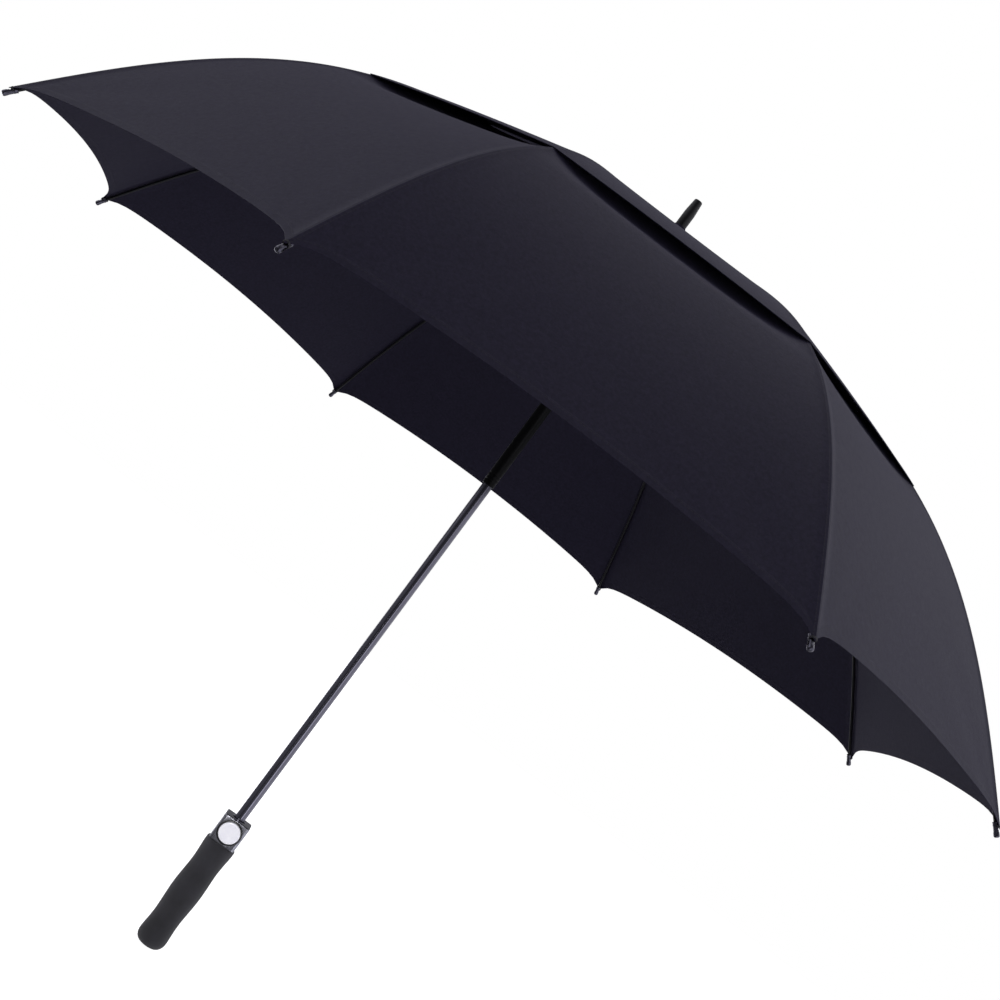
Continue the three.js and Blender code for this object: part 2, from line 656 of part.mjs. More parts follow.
function roundedSquare(width, corner) {
  const half = width / 2;
  const inset = half - corner;
  const shape = new THREE.Shape();
  const quarter = Math.PI / 2;
  for (const [turn, x, y] of [[0, 1, 1], [1, -1, 1], [2, -1, -1], [3, 1, -1]]) {
    shape.absarc(x * inset, y * inset, corner, turn * quarter, (turn + 1) * quarter);
  }
  return shape;
}

function upright(shape, bottom, top) {
  const depth = top - bottom;
  const bar = new THREE.ExtrudeGeometry(shape, { depth, bevelEnabled: false, curveSegments: 3 });
  return solid(bar.translate(0, 0, bottom));
}

// A turned cutter or piece about the button's axis. The profile is a list of [radius, y].
function turnedOnButtonAxis(profile) {
  const points = profile.map(([radius, y]) => new THREE.Vector2(radius, y));
  return solid(new THREE.LatheGeometry(points, BUTTON_SIDES).translate(0, 0, BUTTON_Z));
}

function handleCollar() {
  const ceiling = COLLAR_TOP - COLLAR_TOP_WALL;
  const shell = upright(roundedSquare(COLLAR_WIDTH, COLLAR_CORNER), COLLAR_BOTTOM, COLLAR_TOP);
  const inside = roundedSquare(COLLAR_WIDTH - 2 * COLLAR_WALL, COLLAR_INNER_CORNER);
  const cavity = upright(inside, COLLAR_BOTTOM - 1, ceiling);
  const shaftHole = turned([
    [0, ceiling - 1], [SLEEVE_ROOM, ceiling - 1], [SLEEVE_ROOM, COLLAR_TOP + 1], [0, COLLAR_TOP + 1],
  ]);
  const recess = BUTTON_BORE + BUTTON_RECESS;
  const buttonHole = turnedOnButtonAxis([
    [0, COLLAR_FACE - 1], [recess, COLLAR_FACE - 1], [recess, COLLAR_FACE],
    [BUTTON_BORE, COLLAR_FACE + BUTTON_RECESS_DEPTH], [BUTTON_BORE, COLLAR_FACE + 4],
    [0, COLLAR_FACE + 4],
  ]);
  return cut(shell, cavity, shaftHole, buttonHole);
}

// A domed cap with a flange that holds it behind the collar's wall, and a boss that pushes the latch.
function button() {
  const face = COLLAR_FACE - BUTTON_PROUD;
  const wallInside = COLLAR_FACE + COLLAR_WALL + CLEARANCE;
  const flangeRadius = BUTTON_RADIUS + BUTTON_FLANGE_WIDTH;
  const bossEnd = LATCH_OUTSIDE - CLEARANCE;
  const dome = new THREE.QuadraticBezierCurve(
    new THREE.Vector2(0, face),
    new THREE.Vector2(BUTTON_RADIUS * 0.6, face),
    new THREE.Vector2(BUTTON_RADIUS - BUTTON_ROUND, face + BUTTON_DOME),
  );
  return turnedOnButtonAxis([
    ...dome.getPoints(3).map((point) => [point.x, point.y]),
    [BUTTON_RADIUS, face + BUTTON_DOME + BUTTON_ROUND],
    [BUTTON_RADIUS, wallInside], [flangeRadius, wallInside],
    [flangeRadius, wallInside + BUTTON_FLANGE], [BUTTON_BOSS_RADIUS, wallInside + BUTTON_FLANGE],
    [BUTTON_BOSS_RADIUS, bossEnd], [0, bossEnd],
  ]);
}

// A sheet-metal stirrup: a strip that stands in the core, and a ring about the shaft with a tooth
// at the back that drops into the runner's window.
function latchSpring() {
  const [bottom, top] = [BUTTON_Z - LATCH_HALF_HEIGHT, BUTTON_Z + LATCH_HALF_HEIGHT];
  const [outer, inner] = [LATCH_RING_OUTER, LATCH_RING_INNER];
  const frontCentre = LATCH_OUTSIDE + outer;
  const outline = new THREE.Shape();
  outline.absarc(0, 0, outer, 0, Math.PI);
  outline.absarc(0, frontCentre, outer, Math.PI, 2 * Math.PI);
  const opening = new THREE.Path();
  opening.absarc(0, frontCentre, inner, 0, -Math.PI, true);
  opening.absarc(0, 0, inner, Math.PI, 0, true);
  outline.holes.push(opening);
  const tooth = block(
    [-LATCH_TOOTH_HALF_WIDTH, LATCH_TOOTH_HALF_WIDTH],
    [SHAFT_RADIUS + 0.5, inner + 1],
    [bottom, top],
  );
  const stripFace = LATCH_OUTSIDE + 0.1;
  const strip = block(
    [-LATCH_STRIP_HALF_WIDTH, LATCH_STRIP_HALF_WIDTH],
    [stripFace, stripFace + LATCH_SHEET],
    [LATCH_FOOT, top],
  );
  return join(upright(outline, bottom, top), tooth, strip);
}

// ---------------------------------------------------------------- materials

const finish = (color, roughness, metalness) => () => new THREE.MeshStandardMaterial({
  color,
  roughness,
  metalness,
});
const blackCloth = finish(0x26242d, 0.8, 0);
const gunmetal = finish(0x5a5a66, 0.3, 0.9);
const blackPlastic = finish(0x17171a, 0.45, 0);
const blackRod = finish(0x141418, 0.35, 0);
const foam = finish(0x232326, 0.9, 0);
const pearl = finish(0xeceaf2, 0.25, 0.3);
const steel = finish(0x9a9aa0, 0.3, 1);

// ---------------------------------------------------------------- assembly

const umbrella = new THREE.Group();

function addTo(group, name, body, material) {
  const mesh = new THREE.Mesh(geometryOf(body), material());
  mesh.name = name;
  group.add(mesh);
}

const add = (name, body, material) => addTo(umbrella, name, body, material);

add('handle_grip', handleGrip(), foam);
add('handle_core', handleCore(), blackPlastic);
add('handle_collar', handleCollar(), gunmetal);
add('button', button(), pearl);
add('latch_spring', latchSpring(), steel);
add('set_pin', crossPin(SET_PIN_Z, SET_PIN_HALF_LENGTH), steel);
add('shaft_tube', shaftTube(), gunmetal);
add('spring_seat', springSeat(), blackPlastic);
add('main_spring', mainSpring(), steel);
add('spring_plunger', springPlunger(), steel);
add('runner', runner(), blackPlastic);
add('runner_wire', ringWire(runnerPivot.z), steel);
add('runner_stop', crossPin(stopZ, STOP_PIN_HALF_LENGTH), steel);
add('crown', crown(), blackPlastic);
add('crown_wire', ringWire(crownPivot.z), steel);
add('top_rosette', topRosette(), blackCloth);
add('ferrule', ferrule(), blackPlastic);
add('upper_canopy', upperCanopy(), blackCloth);

const ribBody = rib();
const outerRibBody = outerRib();
const ribTipBody = ribTip();
const stretcherBody = stretcher();
const lowerCanopyBody = lowerCanopy();

for (let i = 0; i < RIB_COUNT; i += 1) {
  const place = new THREE.Group();
  place.rotation.z = THREE.MathUtils.degToRad(FIRST_RIB_AZIMUTH + (i * 360) / RIB_COUNT);
  addTo(place, `rib_${i + 1}`, ribBody, blackRod);
  addTo(place, `outer_rib_${i + 1}`, outerRibBody, blackRod);
  addTo(place, `rib_tip_${i + 1}`, ribTipBody, steel);
  addTo(place, `stretcher_${i + 1}`, stretcherBody, blackRod);
  addTo(place, `lower_canopy_${i + 1}`, lowerCanopyBody, blackCloth);
  umbrella.add(place);
}

export default umbrella;
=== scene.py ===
"""A vented golf umbrella, open: the looks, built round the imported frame.

Lengths are millimetres until make_mesh() turns them into metres. The lamps are placed in metres.
"""

import json
import math

import bpy
import bmesh
import numpy as np
from mathutils import Matrix, Vector


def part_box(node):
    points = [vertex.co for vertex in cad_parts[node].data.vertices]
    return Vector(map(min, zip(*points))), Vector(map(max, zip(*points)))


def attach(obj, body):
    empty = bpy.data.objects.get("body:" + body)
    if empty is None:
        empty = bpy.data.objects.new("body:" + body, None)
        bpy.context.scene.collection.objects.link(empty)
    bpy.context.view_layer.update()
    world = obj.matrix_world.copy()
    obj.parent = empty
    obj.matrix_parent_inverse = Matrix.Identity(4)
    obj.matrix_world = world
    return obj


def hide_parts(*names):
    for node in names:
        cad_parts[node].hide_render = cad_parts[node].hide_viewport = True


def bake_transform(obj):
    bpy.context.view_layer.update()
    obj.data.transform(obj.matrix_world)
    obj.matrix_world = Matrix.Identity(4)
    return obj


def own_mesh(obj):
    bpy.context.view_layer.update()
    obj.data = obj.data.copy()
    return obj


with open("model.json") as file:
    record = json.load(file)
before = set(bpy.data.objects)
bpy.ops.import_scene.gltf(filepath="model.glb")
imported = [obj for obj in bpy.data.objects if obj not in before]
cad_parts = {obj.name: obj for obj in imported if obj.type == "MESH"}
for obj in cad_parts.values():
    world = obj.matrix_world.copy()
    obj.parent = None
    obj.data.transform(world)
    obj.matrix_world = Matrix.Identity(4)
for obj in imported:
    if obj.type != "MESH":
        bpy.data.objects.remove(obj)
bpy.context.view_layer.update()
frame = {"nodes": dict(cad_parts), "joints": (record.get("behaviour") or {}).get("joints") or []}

MM = 0.001
JOINTS = {joint["name"]: joint for joint in frame["joints"]}

# ------------------------------------------------------------------ places from the frame

RIB_COUNT = 8
HALF_PANEL = math.pi / RIB_COUNT


def joint_point(name):
    """Radius and height of a joint that stands in a rib's plane."""
    x, y, z = JOINTS[name]["pos_m"]
    return np.array([math.hypot(x, y), z]) / MM


def rib_azimuth(k):
    x, y, _ = JOINTS[f"rib_{k}_fold"]["pos_m"]
    return math.atan2(y, x)


def low(node):
    return np.array(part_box(node)[0]) / MM


def high(node):
    return np.array(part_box(node)[1]) / MM


CROWN_PIVOT = joint_point("rib_1_fold")
FORK_PIVOT = joint_point("stretcher_1_fork")
RUNNER_PIVOT = joint_point("runner_travel")
LINK = float(np.hypot(*(FORK_PIVOT - RUNNER_PIVOT)))

# ------------------------------------------------------------------ canopy dimensions

# In this section, _AT, _START and _END stand for a distance along the rib from the crown pivot.
CROWN_SLOPE = math.radians(6)
PEAK_BEND = 0.0021284  # radians per millimetre
PEAK_AT = 426
TIP_AT = 741.4
VENT_AT = 376  # edge of the upper canopy, and the place where the rod flexes
FORK_AT = 362
LINING_START = 240  # inner edge of the lower canopy's lining, under the upper canopy
LOWER_START = 366  # where the lining meets the lower canopy proper, close to the flex point
LOWER_END = 735.5
UPPER_START = -4.6
UPPER_SPLIT = 150  # where the upper canopy's inner ring meets its outer one
UPPER_END = VENT_AT + 2
UPPER_SAG = 0.9  # half way from the crown to the hem
UPPER_LIFT = 1.7  # of the upper hem, over the vent
TUCK = 2.2
LOWER_SLACK = 2.2
VENT_DIP = 8.4  # of the lower canopy, under the upper hem
VENT_TIGHTENING = 6.2  # how much less it dips towards +X
SCALLOP = 17
CORNER_HOOK = 13  # the hem runs this far along the rib before it turns to the panel
CORNER_WIDTH = 12
INNER_KEEP = 0.33  # width that is left of the cloth round a rib when the frame is folded
OUTER_KEEP = 0.235
ROD_DEPTH = 5
LOWER_DEPTH = 1
CLOTH = 0.32
SEAM_HALF = 3.6
SEAM_RAISE = 0.22
HEM_WIDTH = 9
HEM_RAISE = 0.16
HEM_ROWS = (HEM_WIDTH + 0.9, HEM_WIDTH + 0.5, HEM_WIDTH, HEM_WIDTH - 0.4, 7.4, 4, 1.2, 0.4, 0)

# ------------------------------------------------------------------ the rib line


def slope_at(s):
    """Slope of the cloth below the horizontal at a distance along the rib."""
    rise = np.minimum(s, PEAK_AT)
    fall = np.maximum(s - PEAK_AT, 0)
    bent = rise * rise / (2 * PEAK_AT) + fall - fall * fall / (2 * (TIP_AT - PEAK_AT))
    return CROWN_SLOPE + PEAK_BEND * bent


def build_rib_line():
    """The cloth's line from just inside the crown to the tip, in half-millimetre steps."""
    step = 0.5
    s = np.arange(-8, TIP_AT + 4, step)
    middle = slope_at(s + step / 2)
    radius = np.concatenate([[0], np.cumsum(step * np.cos(middle))[:-1]])
    height = -np.concatenate([[0], np.cumsum(step * np.sin(middle))[:-1]])
    start = np.array([np.interp(0, s, radius), np.interp(0, s, height)])
    normal = np.array([math.sin(CROWN_SLOPE), math.cos(CROWN_SLOPE)])
    origin = CROWN_PIVOT + ROD_DEPTH * normal - start
    return s, radius + origin[0], height + origin[1]


LINE_S, LINE_R, LINE_Z = build_rib_line()


def line_at(s, depth=0.0):
    """Radius and height at a distance along the rib, at a depth below the cloth."""
    slope = slope_at(s)
    radius = np.interp(s, LINE_S, LINE_R) - depth * np.sin(slope)
    height = np.interp(s, LINE_S, LINE_Z) - depth * np.cos(slope)
    return radius, height


def smooth(value, start, end):
    t = np.clip((value - start) / (end - start), 0, 1)
    return t * t * (3 - 2 * t)


def cloth_point(s, across, depth, drop):
    """Points of the cloth in a rib's own frame. across is 0 on the rib and 1 or -1 in mid-panel."""
    radius, height = line_at(s, depth)
    share = np.abs(across)
    side = np.sign(across)
    middle_x = radius * math.cos(HALF_PANEL) ** 2
    middle_y = radius * math.cos(HALF_PANEL) * math.sin(HALF_PANEL) * side
    slope = np.arctan(np.tan(slope_at(s)) / math.cos(HALF_PANEL))
    x = radius + share * (middle_x - radius) - drop * np.sin(slope) * math.cos(HALF_PANEL)
    y = share * middle_y - drop * np.sin(slope) * math.sin(HALF_PANEL) * side
    return np.stack([x, y, height - drop * np.cos(slope)], axis=-1)


def half_width(s):
    return line_at(s)[0] * math.sin(HALF_PANEL)


# ------------------------------------------------------------------ meshes

ROD_SIDES = 14


def make_mesh(name, points, faces, material, sharp=40, attributes=None):
    """A mesh object from points in millimetres, with its faces turned outwards, smooth but for edges
    sharper than an angle."""
    mesh = bpy.data.meshes.new(name)
    scaled = (np.asarray(points, float).reshape(-1, 3) * MM).tolist()
    mesh.from_pydata(scaled, [], [tuple(int(i) for i in face) for face in faces])
    for key, values in (attributes or {}).items():
        layer = mesh.attributes.new(key, "FLOAT", "POINT")
        layer.data.foreach_set("value", np.asarray(values, np.float32).ravel())
    mesh.validate()
    mesh.shade_smooth()
    mesh.set_sharp_from_angle(angle=math.radians(sharp))
    piece = bpy.data.objects.new(name, mesh)
    bpy.context.scene.collection.objects.link(piece)
    mesh.materials.append(material)
    work = bmesh.new()
    work.from_mesh(mesh)
    bmesh.ops.recalc_face_normals(work, faces=work.faces)
    work.to_mesh(mesh)
    work.free()
    return piece


def grid_faces(rows, columns, wrap=False, start=0, flip=False):
    faces = []
    for row in range(rows - 1):
        for column in range(columns if wrap else columns - 1):
            after = (column + 1) % columns
            a = start + row * columns + column
            b = start + row * columns + after
            quad = (a, b, b + columns, a + columns)
            faces.append(quad[::-1] if flip else quad)
    return faces


def turned(profile, sides=64):
    """Points and faces of a turned solid about Z. The profile is [radius, z] from axis to axis, upwards
    along the outside, or a closed loop that ends where it starts."""
    closed = np.allclose(profile[0], profile[-1])
    rows = [np.array(p, float) for p in (profile[:-1] if closed else profile)]
    angles = np.arange(sides) * 2 * math.pi / sides
    points, faces, ring_start = [], [], []
    for radius, z in rows:
        ring_start.append(len(points))
        if radius < 1e-6:
            points.append((0, 0, z))
        else:
            points += [(radius * math.cos(a), radius * math.sin(a), z) for a in angles]
    count = len(rows)
    for i in range(count if closed else count - 1):
        low_ring, top_ring = ring_start[i], ring_start[(i + 1) % count]
        pole_low, pole_top = rows[i][0] < 1e-6, rows[(i + 1) % count][0] < 1e-6
        for j in range(sides):
            after = (j + 1) % sides
            if pole_low:
                faces.append((low_ring, top_ring + after, top_ring + j))
            elif pole_top:
                faces.append((low_ring + j, low_ring + after, top_ring))
            else:
                faces.append((low_ring + j, low_ring + after, top_ring + after, top_ring + j))
    return points, faces


def swept(path, radius, sides=ROD_SIDES, up=(0, 1, 0)):
    """Points and faces of a round rod with closed ends along a path. radius may change along it."""
    path = np.asarray(path, float)
    radii = np.broadcast_to(radius, len(path))
    tangent = np.gradient(path, axis=0)
    tangent /= np.linalg.norm(tangent, axis=1)[:, None]
    side = np.cross(tangent, up)
    side /= np.linalg.norm(side, axis=1)[:, None]
    over = np.cross(side, tangent)
    angles = np.arange(sides) * 2 * math.pi / sides
    rings = (
        path[:, None]
        + radii[:, None, None] * np.cos(angles)[None, :, None] * side[:, None]
        + radii[:, None, None] * np.sin(angles)[None, :, None] * over[:, None]
    )
    faces = grid_faces(len(path), sides, wrap=True)
    points = rings.reshape(-1, 3).tolist()
    for row, flip in ((0, True), (len(path) - 1, False)):
        centre = len(points)
        points.append(path[row].tolist())
        for j in range(sides):
            a, b = row * sides + j, row * sides + (j + 1) % sides
            faces.append((b, a, centre) if flip else (a, b, centre))
    return points, faces


def merged(*shells):
    """Several closed shells as one list of points and faces."""
    points, faces = [], []
    for shell_points, shell_faces in shells:
        start = len(points)
        points += [tuple(p) for p in shell_points]
        faces += [tuple(i + start for i in face) for face in shell_faces]
    return points, faces


def moved(shell, matrix):
    """A shell carried by a matrix."""
    carry = np.array(matrix)
    points = np.asarray(shell[0], float) @ carry[:3, :3].T + carry[:3, 3]
    return points.tolist(), shell[1]


def cut_with(piece, cutters):
    """Cuts closed shells out of a piece."""
    for points, faces in cutters:
        cutter = make_mesh("cutter", points, faces, None)
        modifier = piece.modifiers.new("cut", "BOOLEAN")
        modifier.object = cutter
        modifier.solver = "EXACT"
        bpy.context.view_layer.update()
        graph = bpy.context.evaluated_depsgraph_get()
        result = bpy.data.meshes.new_from_object(piece.evaluated_get(graph))
        piece.modifiers.clear()
        piece.data = result
        bpy.data.objects.remove(cutter)
    piece.data.shade_smooth()
    piece.data.set_sharp_from_angle(angle=math.radians(35))


def block(x_range, y_range, z_range):
    corners = [(x, y, z) for z in z_range for y in y_range for x in x_range]
    faces = [(0, 2, 3, 1), (4, 5, 7, 6), (0, 1, 5, 4), (2, 6, 7, 3), (0, 4, 6, 2), (1, 3, 7, 5)]
    return corners, faces


def arc(centre, radius, start, end, steps):
    """Points of an arc as [radius, z], between two angles in degrees."""
    angles = np.radians(np.linspace(start, end, steps + 1))
    return [[centre[0] + radius * math.cos(a), centre[1] + radius * math.sin(a)] for a in angles]


def rib_matrix(k):
    """Carries a rib's own frame, X outwards and Z up, to the frame of the part."""
    return Matrix.Rotation(rib_azimuth(k), 4, "Z")


# ------------------------------------------------------------------ node materials


class Nodes:
    """A small helper for building the node tree of a material or a world."""

    def __init__(self, owner):
        owner.use_nodes = True
        self.owner = owner
        self.tree = owner.node_tree

    def feed(self, socket, value):
        if isinstance(value, bpy.types.NodeSocket):
            self.tree.links.new(value, socket)
        else:
            socket.default_value = value

    def add(self, kind, inputs=None, **settings):
        node = self.tree.nodes.new(kind)
        for key, value in settings.items():
            setattr(node, key, value)
        for key, value in (inputs or {}).items():
            self.feed(node.inputs[key], value)
        return node

    def math(self, operation, *values):
        return self.add("ShaderNodeMath", dict(enumerate(values)), operation=operation).outputs[0]

    def attribute(self, name):
        return self.add("ShaderNodeAttribute", attribute_name=name).outputs["Fac"]

    def place(self, scale=1.0):
        """Object coordinates in millimetres, divided by a size."""
        spot = self.add("ShaderNodeTexCoord").outputs["Object"]
        sized = self.add("ShaderNodeVectorMath", {0: spot, 3: 1000.0 / scale}, operation="SCALE")
        return sized.outputs[0]

    def noise(self, size, detail=2.0, rough=0.5, where=None):
        inputs = {"Vector": where or self.place(size), "Scale": 1.0, "Detail": detail, "Roughness": rough}
        return self.add("ShaderNodeTexNoise", inputs).outputs["Fac"]

    def ramp(self, value, low_value, high_value, start=0.0, end=1.0, shape="LINEAR"):
        inputs = {0: value, 1: start, 2: end, 3: low_value, 4: high_value}
        return self.add("ShaderNodeMapRange", inputs, interpolation_type=shape).outputs[0]

    def mix(self, share, first, second):
        return self.add("ShaderNodeMix", {0: share, 6: first, 7: second}, data_type="RGBA").outputs[2]

    def clouds(self, size, detail, first, second):
        """Slow changes between two colours."""
        return self.mix(self.ramp(self.noise(size, detail), 0, 1, 0.3, 0.7), first, second)

    def bump(self, height, depth_mm, strength=1.0):
        inputs = {"Height": height, "Distance": depth_mm * MM, "Strength": strength}
        self.set(Normal=self.add("ShaderNodeBump", inputs).outputs[0])

    def set(self, **inputs):
        shader = self.tree.nodes["Principled BSDF"]
        for key, value in inputs.items():
            self.feed(shader.inputs[key.replace("_", " ")], value)


def new_material(name):
    return Nodes(bpy.data.materials.new(name))


def rgb(hex_value):
    """A display colour as linear red, green, blue and alpha."""
    parts = [((hex_value >> shift) & 255) / 255 for shift in (16, 8, 0)]
    linear = [p / 12.92 if p <= 0.04045 else ((p + 0.055) / 1.055) ** 2.4 for p in parts]
    return (*linear, 1.0)


def shaded(hex_value, factor):
    return (*(c * factor for c in rgb(hex_value)[:3]), 1.0)


def stitches_on(m, distance, line, run):
    """Short dashes of thread on a line at a distance from a seam or a hem."""
    near = m.math("LESS_THAN", m.math("ABSOLUTE", m.math("SUBTRACT", distance, line)), 0.32)
    on = m.math("GREATER_THAN", m.math("SINE", m.math("MULTIPLY", run, 2 * math.pi / 3.2)), -0.35)
    return m.math("MULTIPLY", near, on)


def cloth_material():
    """Black pongee: a fine plain weave, stitched hems and seams, and changes of tone of several sizes."""
    m = new_material("canopy_cloth")
    across, along = m.attribute("across_mm"), m.attribute("along_mm")
    thread = 0.55
    warp = m.math("SINE", m.math("MULTIPLY", across, 2 * math.pi / thread))
    weft = m.math("SINE", m.math("MULTIPLY", along, 2 * math.pi / thread))
    weave = m.math("MULTIPLY", warp, weft)
    slub = m.noise(6.0, 3.0)
    tone = m.math("MULTIPLY", weave, 0.05)
    for spots, depth in ((slub, 0.05), (m.noise(160.0), 0.06), (m.noise(1.3), 0.22), (m.noise(3.4), 0.34)):
        tone = m.math("ADD", tone, m.ramp(spots, -depth, depth))
    seam_stitches = stitches_on(m, m.attribute("seam_mm"), 2.6, along)
    hem_stitches = stitches_on(m, m.attribute("hem_mm"), 7.4, across)
    stitches = m.math("MAXIMUM", seam_stitches, hem_stitches)
    base = m.mix(m.math("ADD", tone, 0.5), rgb(0x0B0A12), rgb(0x262333))
    thread_colour = m.mix(0.5, rgb(0x1A181E), rgb(0x2C2A30))
    colour = m.mix(stitches, base, thread_colour)
    height = m.math("ADD", m.math("MULTIPLY", weave, 0.25), m.math("MULTIPLY", slub, 0.5))
    height = m.math("ADD", height, m.math("MULTIPLY", stitches, 1.2))
    m.bump(height, 0.05, 0.6)
    m.set(Base_Color=colour, Roughness=m.ramp(slub, 0.62, 0.74), Specular_IOR_Level=0.12)
    m.set(Specular_Tint=(0.78, 0.74, 1.0, 1), Sheen_Weight=0.03, Sheen_Roughness=0.4)
    m.set(Sheen_Tint=(0.7, 0.66, 1.0, 1))
    return m.owner


def metal_material(name, colour, roughness, streak):
    """Plated metal with fine drawn lines along Z and slow changes of tone."""
    m = new_material(name)
    spot = m.add("ShaderNodeMapping", {0: m.place(), 3: (1.4, 1.4, 0.01)}).outputs[0]
    lines = m.noise(1.0, 3.0, 0.6, where=spot)
    shade = m.clouds(28.0, 3.0, rgb(colour), shaded(colour, 0.86))
    m.bump(lines, 0.006, streak)
    m.set(Base_Color=shade, Metallic=1.0, Roughness=m.ramp(lines, roughness - 0.03, roughness + 0.05))
    return m.owner


def plastic_material(name, colour, roughness, grain=0.9, shine=0.5):
    """Moulded plastic with a fine spark-eroded grain."""
    m = new_material(name)
    grain_noise = m.noise(grain)
    shade = m.clouds(20.0, 2.0, rgb(colour), shaded(colour, 1.25))
    m.bump(grain_noise, 0.03, 0.35)
    m.set(Base_Color=shade, Roughness=m.ramp(grain_noise, roughness - 0.05, roughness + 0.08))
    m.set(Specular_IOR_Level=shine)
    return m.owner


def rod_material():
    """Pultruded glass fibre: black with faint long fibres under a satin skin."""
    m = new_material("fibreglass")
    drift = m.add("ShaderNodeCombineXYZ", {0: m.math("MULTIPLY", m.attribute("along_mm"), 0.04)}).outputs[0]
    spot = m.add("ShaderNodeVectorMath", {0: drift, 1: m.place(0.7)}, operation="ADD").outputs[0]
    fibre = m.noise(1.0, 4.0, 0.7, where=spot)
    shade = m.mix(m.ramp(fibre, 0, 1, 0.35, 0.75), rgb(0x050507), rgb(0x0D0D11))
    m.bump(fibre, 0.01, 0.3)
    m.set(Base_Color=shade, Roughness=m.ramp(fibre, 0.28, 0.38), Specular_IOR_Level=0.16)
    return m.owner


def foam_material():
    """Closed-cell foam: small pores with painted shade in them, a dry skin, and painted shade where it turns
    away from the view.
    """
    m = new_material("grip_foam")
    pores = m.add("ShaderNodeTexVoronoi", {"Vector": m.place(1.1), "Scale": 1.0}).outputs["Distance"]
    fine = m.noise(0.5)
    shade = m.clouds(22.0, 3.0, rgb(0x1C1C1F), rgb(0x28272C))
    # painted shade: the colour darkens towards near black in the pits of the pores
    dark = m.ramp(pores, 0.55, 1.0, 0.05, 0.35)
    shade = m.mix(dark, rgb(0x0B0B0C), shade)
    # painted shade: the foam darkens towards near black where its surface turns away from the view
    edge = m.add("ShaderNodeLayerWeight", {"Blend": 0.4}).outputs["Facing"]
    shade = m.mix(m.ramp(edge, 0.0, 0.8, 0.35, 0.9), shade, rgb(0x09090A))
    height = m.math("ADD", m.ramp(pores, 0, 1, 0.0, 0.45), m.math("MULTIPLY", fine, 0.4))
    m.bump(height, 0.14, 0.7)
    m.set(Base_Color=shade, Roughness=m.ramp(fine, 0.82, 0.95), Specular_IOR_Level=0.3)
    m.set(Sheen_Weight=0.12, Sheen_Roughness=0.6)
    return m.owner


def pearl_material():
    """Pearl-silver lacquer on the release button."""
    m = new_material("button_pearl")
    flake = m.noise(0.35)
    shade = m.clouds(9.0, 2.0, rgb(0xFCFBFF), rgb(0xF1F0F7))
    m.bump(flake, 0.008, 0.3)
    m.set(Base_Color=shade, Metallic=0.0, Roughness=m.ramp(flake, 0.2, 0.3), Coat_Weight=0.5)
    m.set(Coat_Roughness=0.08)
    return m.owner


CLOTH_M = cloth_material()
TUBE_M = metal_material("tube_gunmetal", 0x5C5B64, 0.17, 0.1)
COLLAR_M = metal_material("collar_gunmetal", 0x84848B, 0.27, 0.3)
STEEL_M = metal_material("spring_steel", 0xA8A8AE, 0.28, 0.3)
TIP_M = metal_material("tip_nickel", 0x45444D, 0.26, 0.3)
PLASTIC_M = plastic_material("black_plastic", 0x070708, 0.38, shine=0.1)
BEZEL_M = plastic_material("bezel_black", 0x0C0C0E, 0.3, 0.6)
FERRULE_M = plastic_material("ferrule_black", 0x09090B, 0.4, 1.2, shine=0.22)
ROD_M = rod_material()
FOAM_M = foam_material()
PEARL_M = pearl_material()
THREAD_M = plastic_material("sewing_thread", 0x1C1B20, 0.7, 0.4)

# ------------------------------------------------------------------ canopy

UPPER_COLUMNS = 14
LOWER_COLUMNS = 22


def columns_for(s, sides, inner_columns):
    """Places across the panel, as a share of its half width, on one side of the rib or, for sides = 0,
    on both. Those on the seam stay at the same distance from the rib in millimetres."""
    width = half_width(s)
    seam = np.array([0, 1.6, 2.6, SEAM_HALF, SEAM_HALF + 0.5])[None, :] / width[:, None]
    seam = np.minimum(seam, 0.5)
    spread = np.linspace(0, 1, inner_columns + 1)[1:]
    rest = seam[:, -1:] + (1 - seam[:, -1:]) * spread[None, :]
    half = np.concatenate([seam, rest], axis=1)
    if sides == 0:
        return np.concatenate([-half[:, :0:-1], half], axis=1)
    return half * sides


def shell_from(outer, inner):
    """A closed sheet from two grids of points."""
    rows, columns = outer.shape[:2]
    count = rows * columns
    faces = grid_faces(rows, columns) + grid_faces(rows, columns, start=count, flip=True)
    for column in range(columns - 1):
        a, b = column, column + 1
        faces.append((b, a, count + a, count + b))
        a, b = (rows - 1) * columns + column, (rows - 1) * columns + column + 1
        faces.append((a, b, count + b, count + a))
    for row in range(rows - 1):
        a, b = row * columns, (row + 1) * columns
        faces.append((a, b, count + b, count + a))
        a, b = a + columns - 1, b + columns - 1
        faces.append((b, a, count + a, count + b))
    return np.concatenate([outer.reshape(-1, 3), inner.reshape(-1, 3)]), faces


def ripples(s, across):
    """Faint pulls in the stretched cloth that run from the corners into the panel, in millimetres."""
    share = np.abs(across)
    aside = share * half_width(s)
    from_tip = np.hypot(TIP_AT - s, aside)
    pull = np.cos(11 * np.arctan2(aside, np.maximum(TIP_AT - s, 1) + 25))
    fade = smooth(share, 0.02, 0.25) * smooth(share, 1.0, 0.6)
    return 0.35 * pull * fade * np.exp(-from_tip / 150)


def sheet(name, points, faces, grids, body):
    """A piece of cloth on a body. Both of its sides carry the same grids of values for the material."""
    data = {key: np.tile(np.ravel(values), 2) for key, values in grids.items()}
    piece = make_mesh(name, points, faces, CLOTH_M, sharp=60, attributes=data)
    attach(piece, body)
    return piece


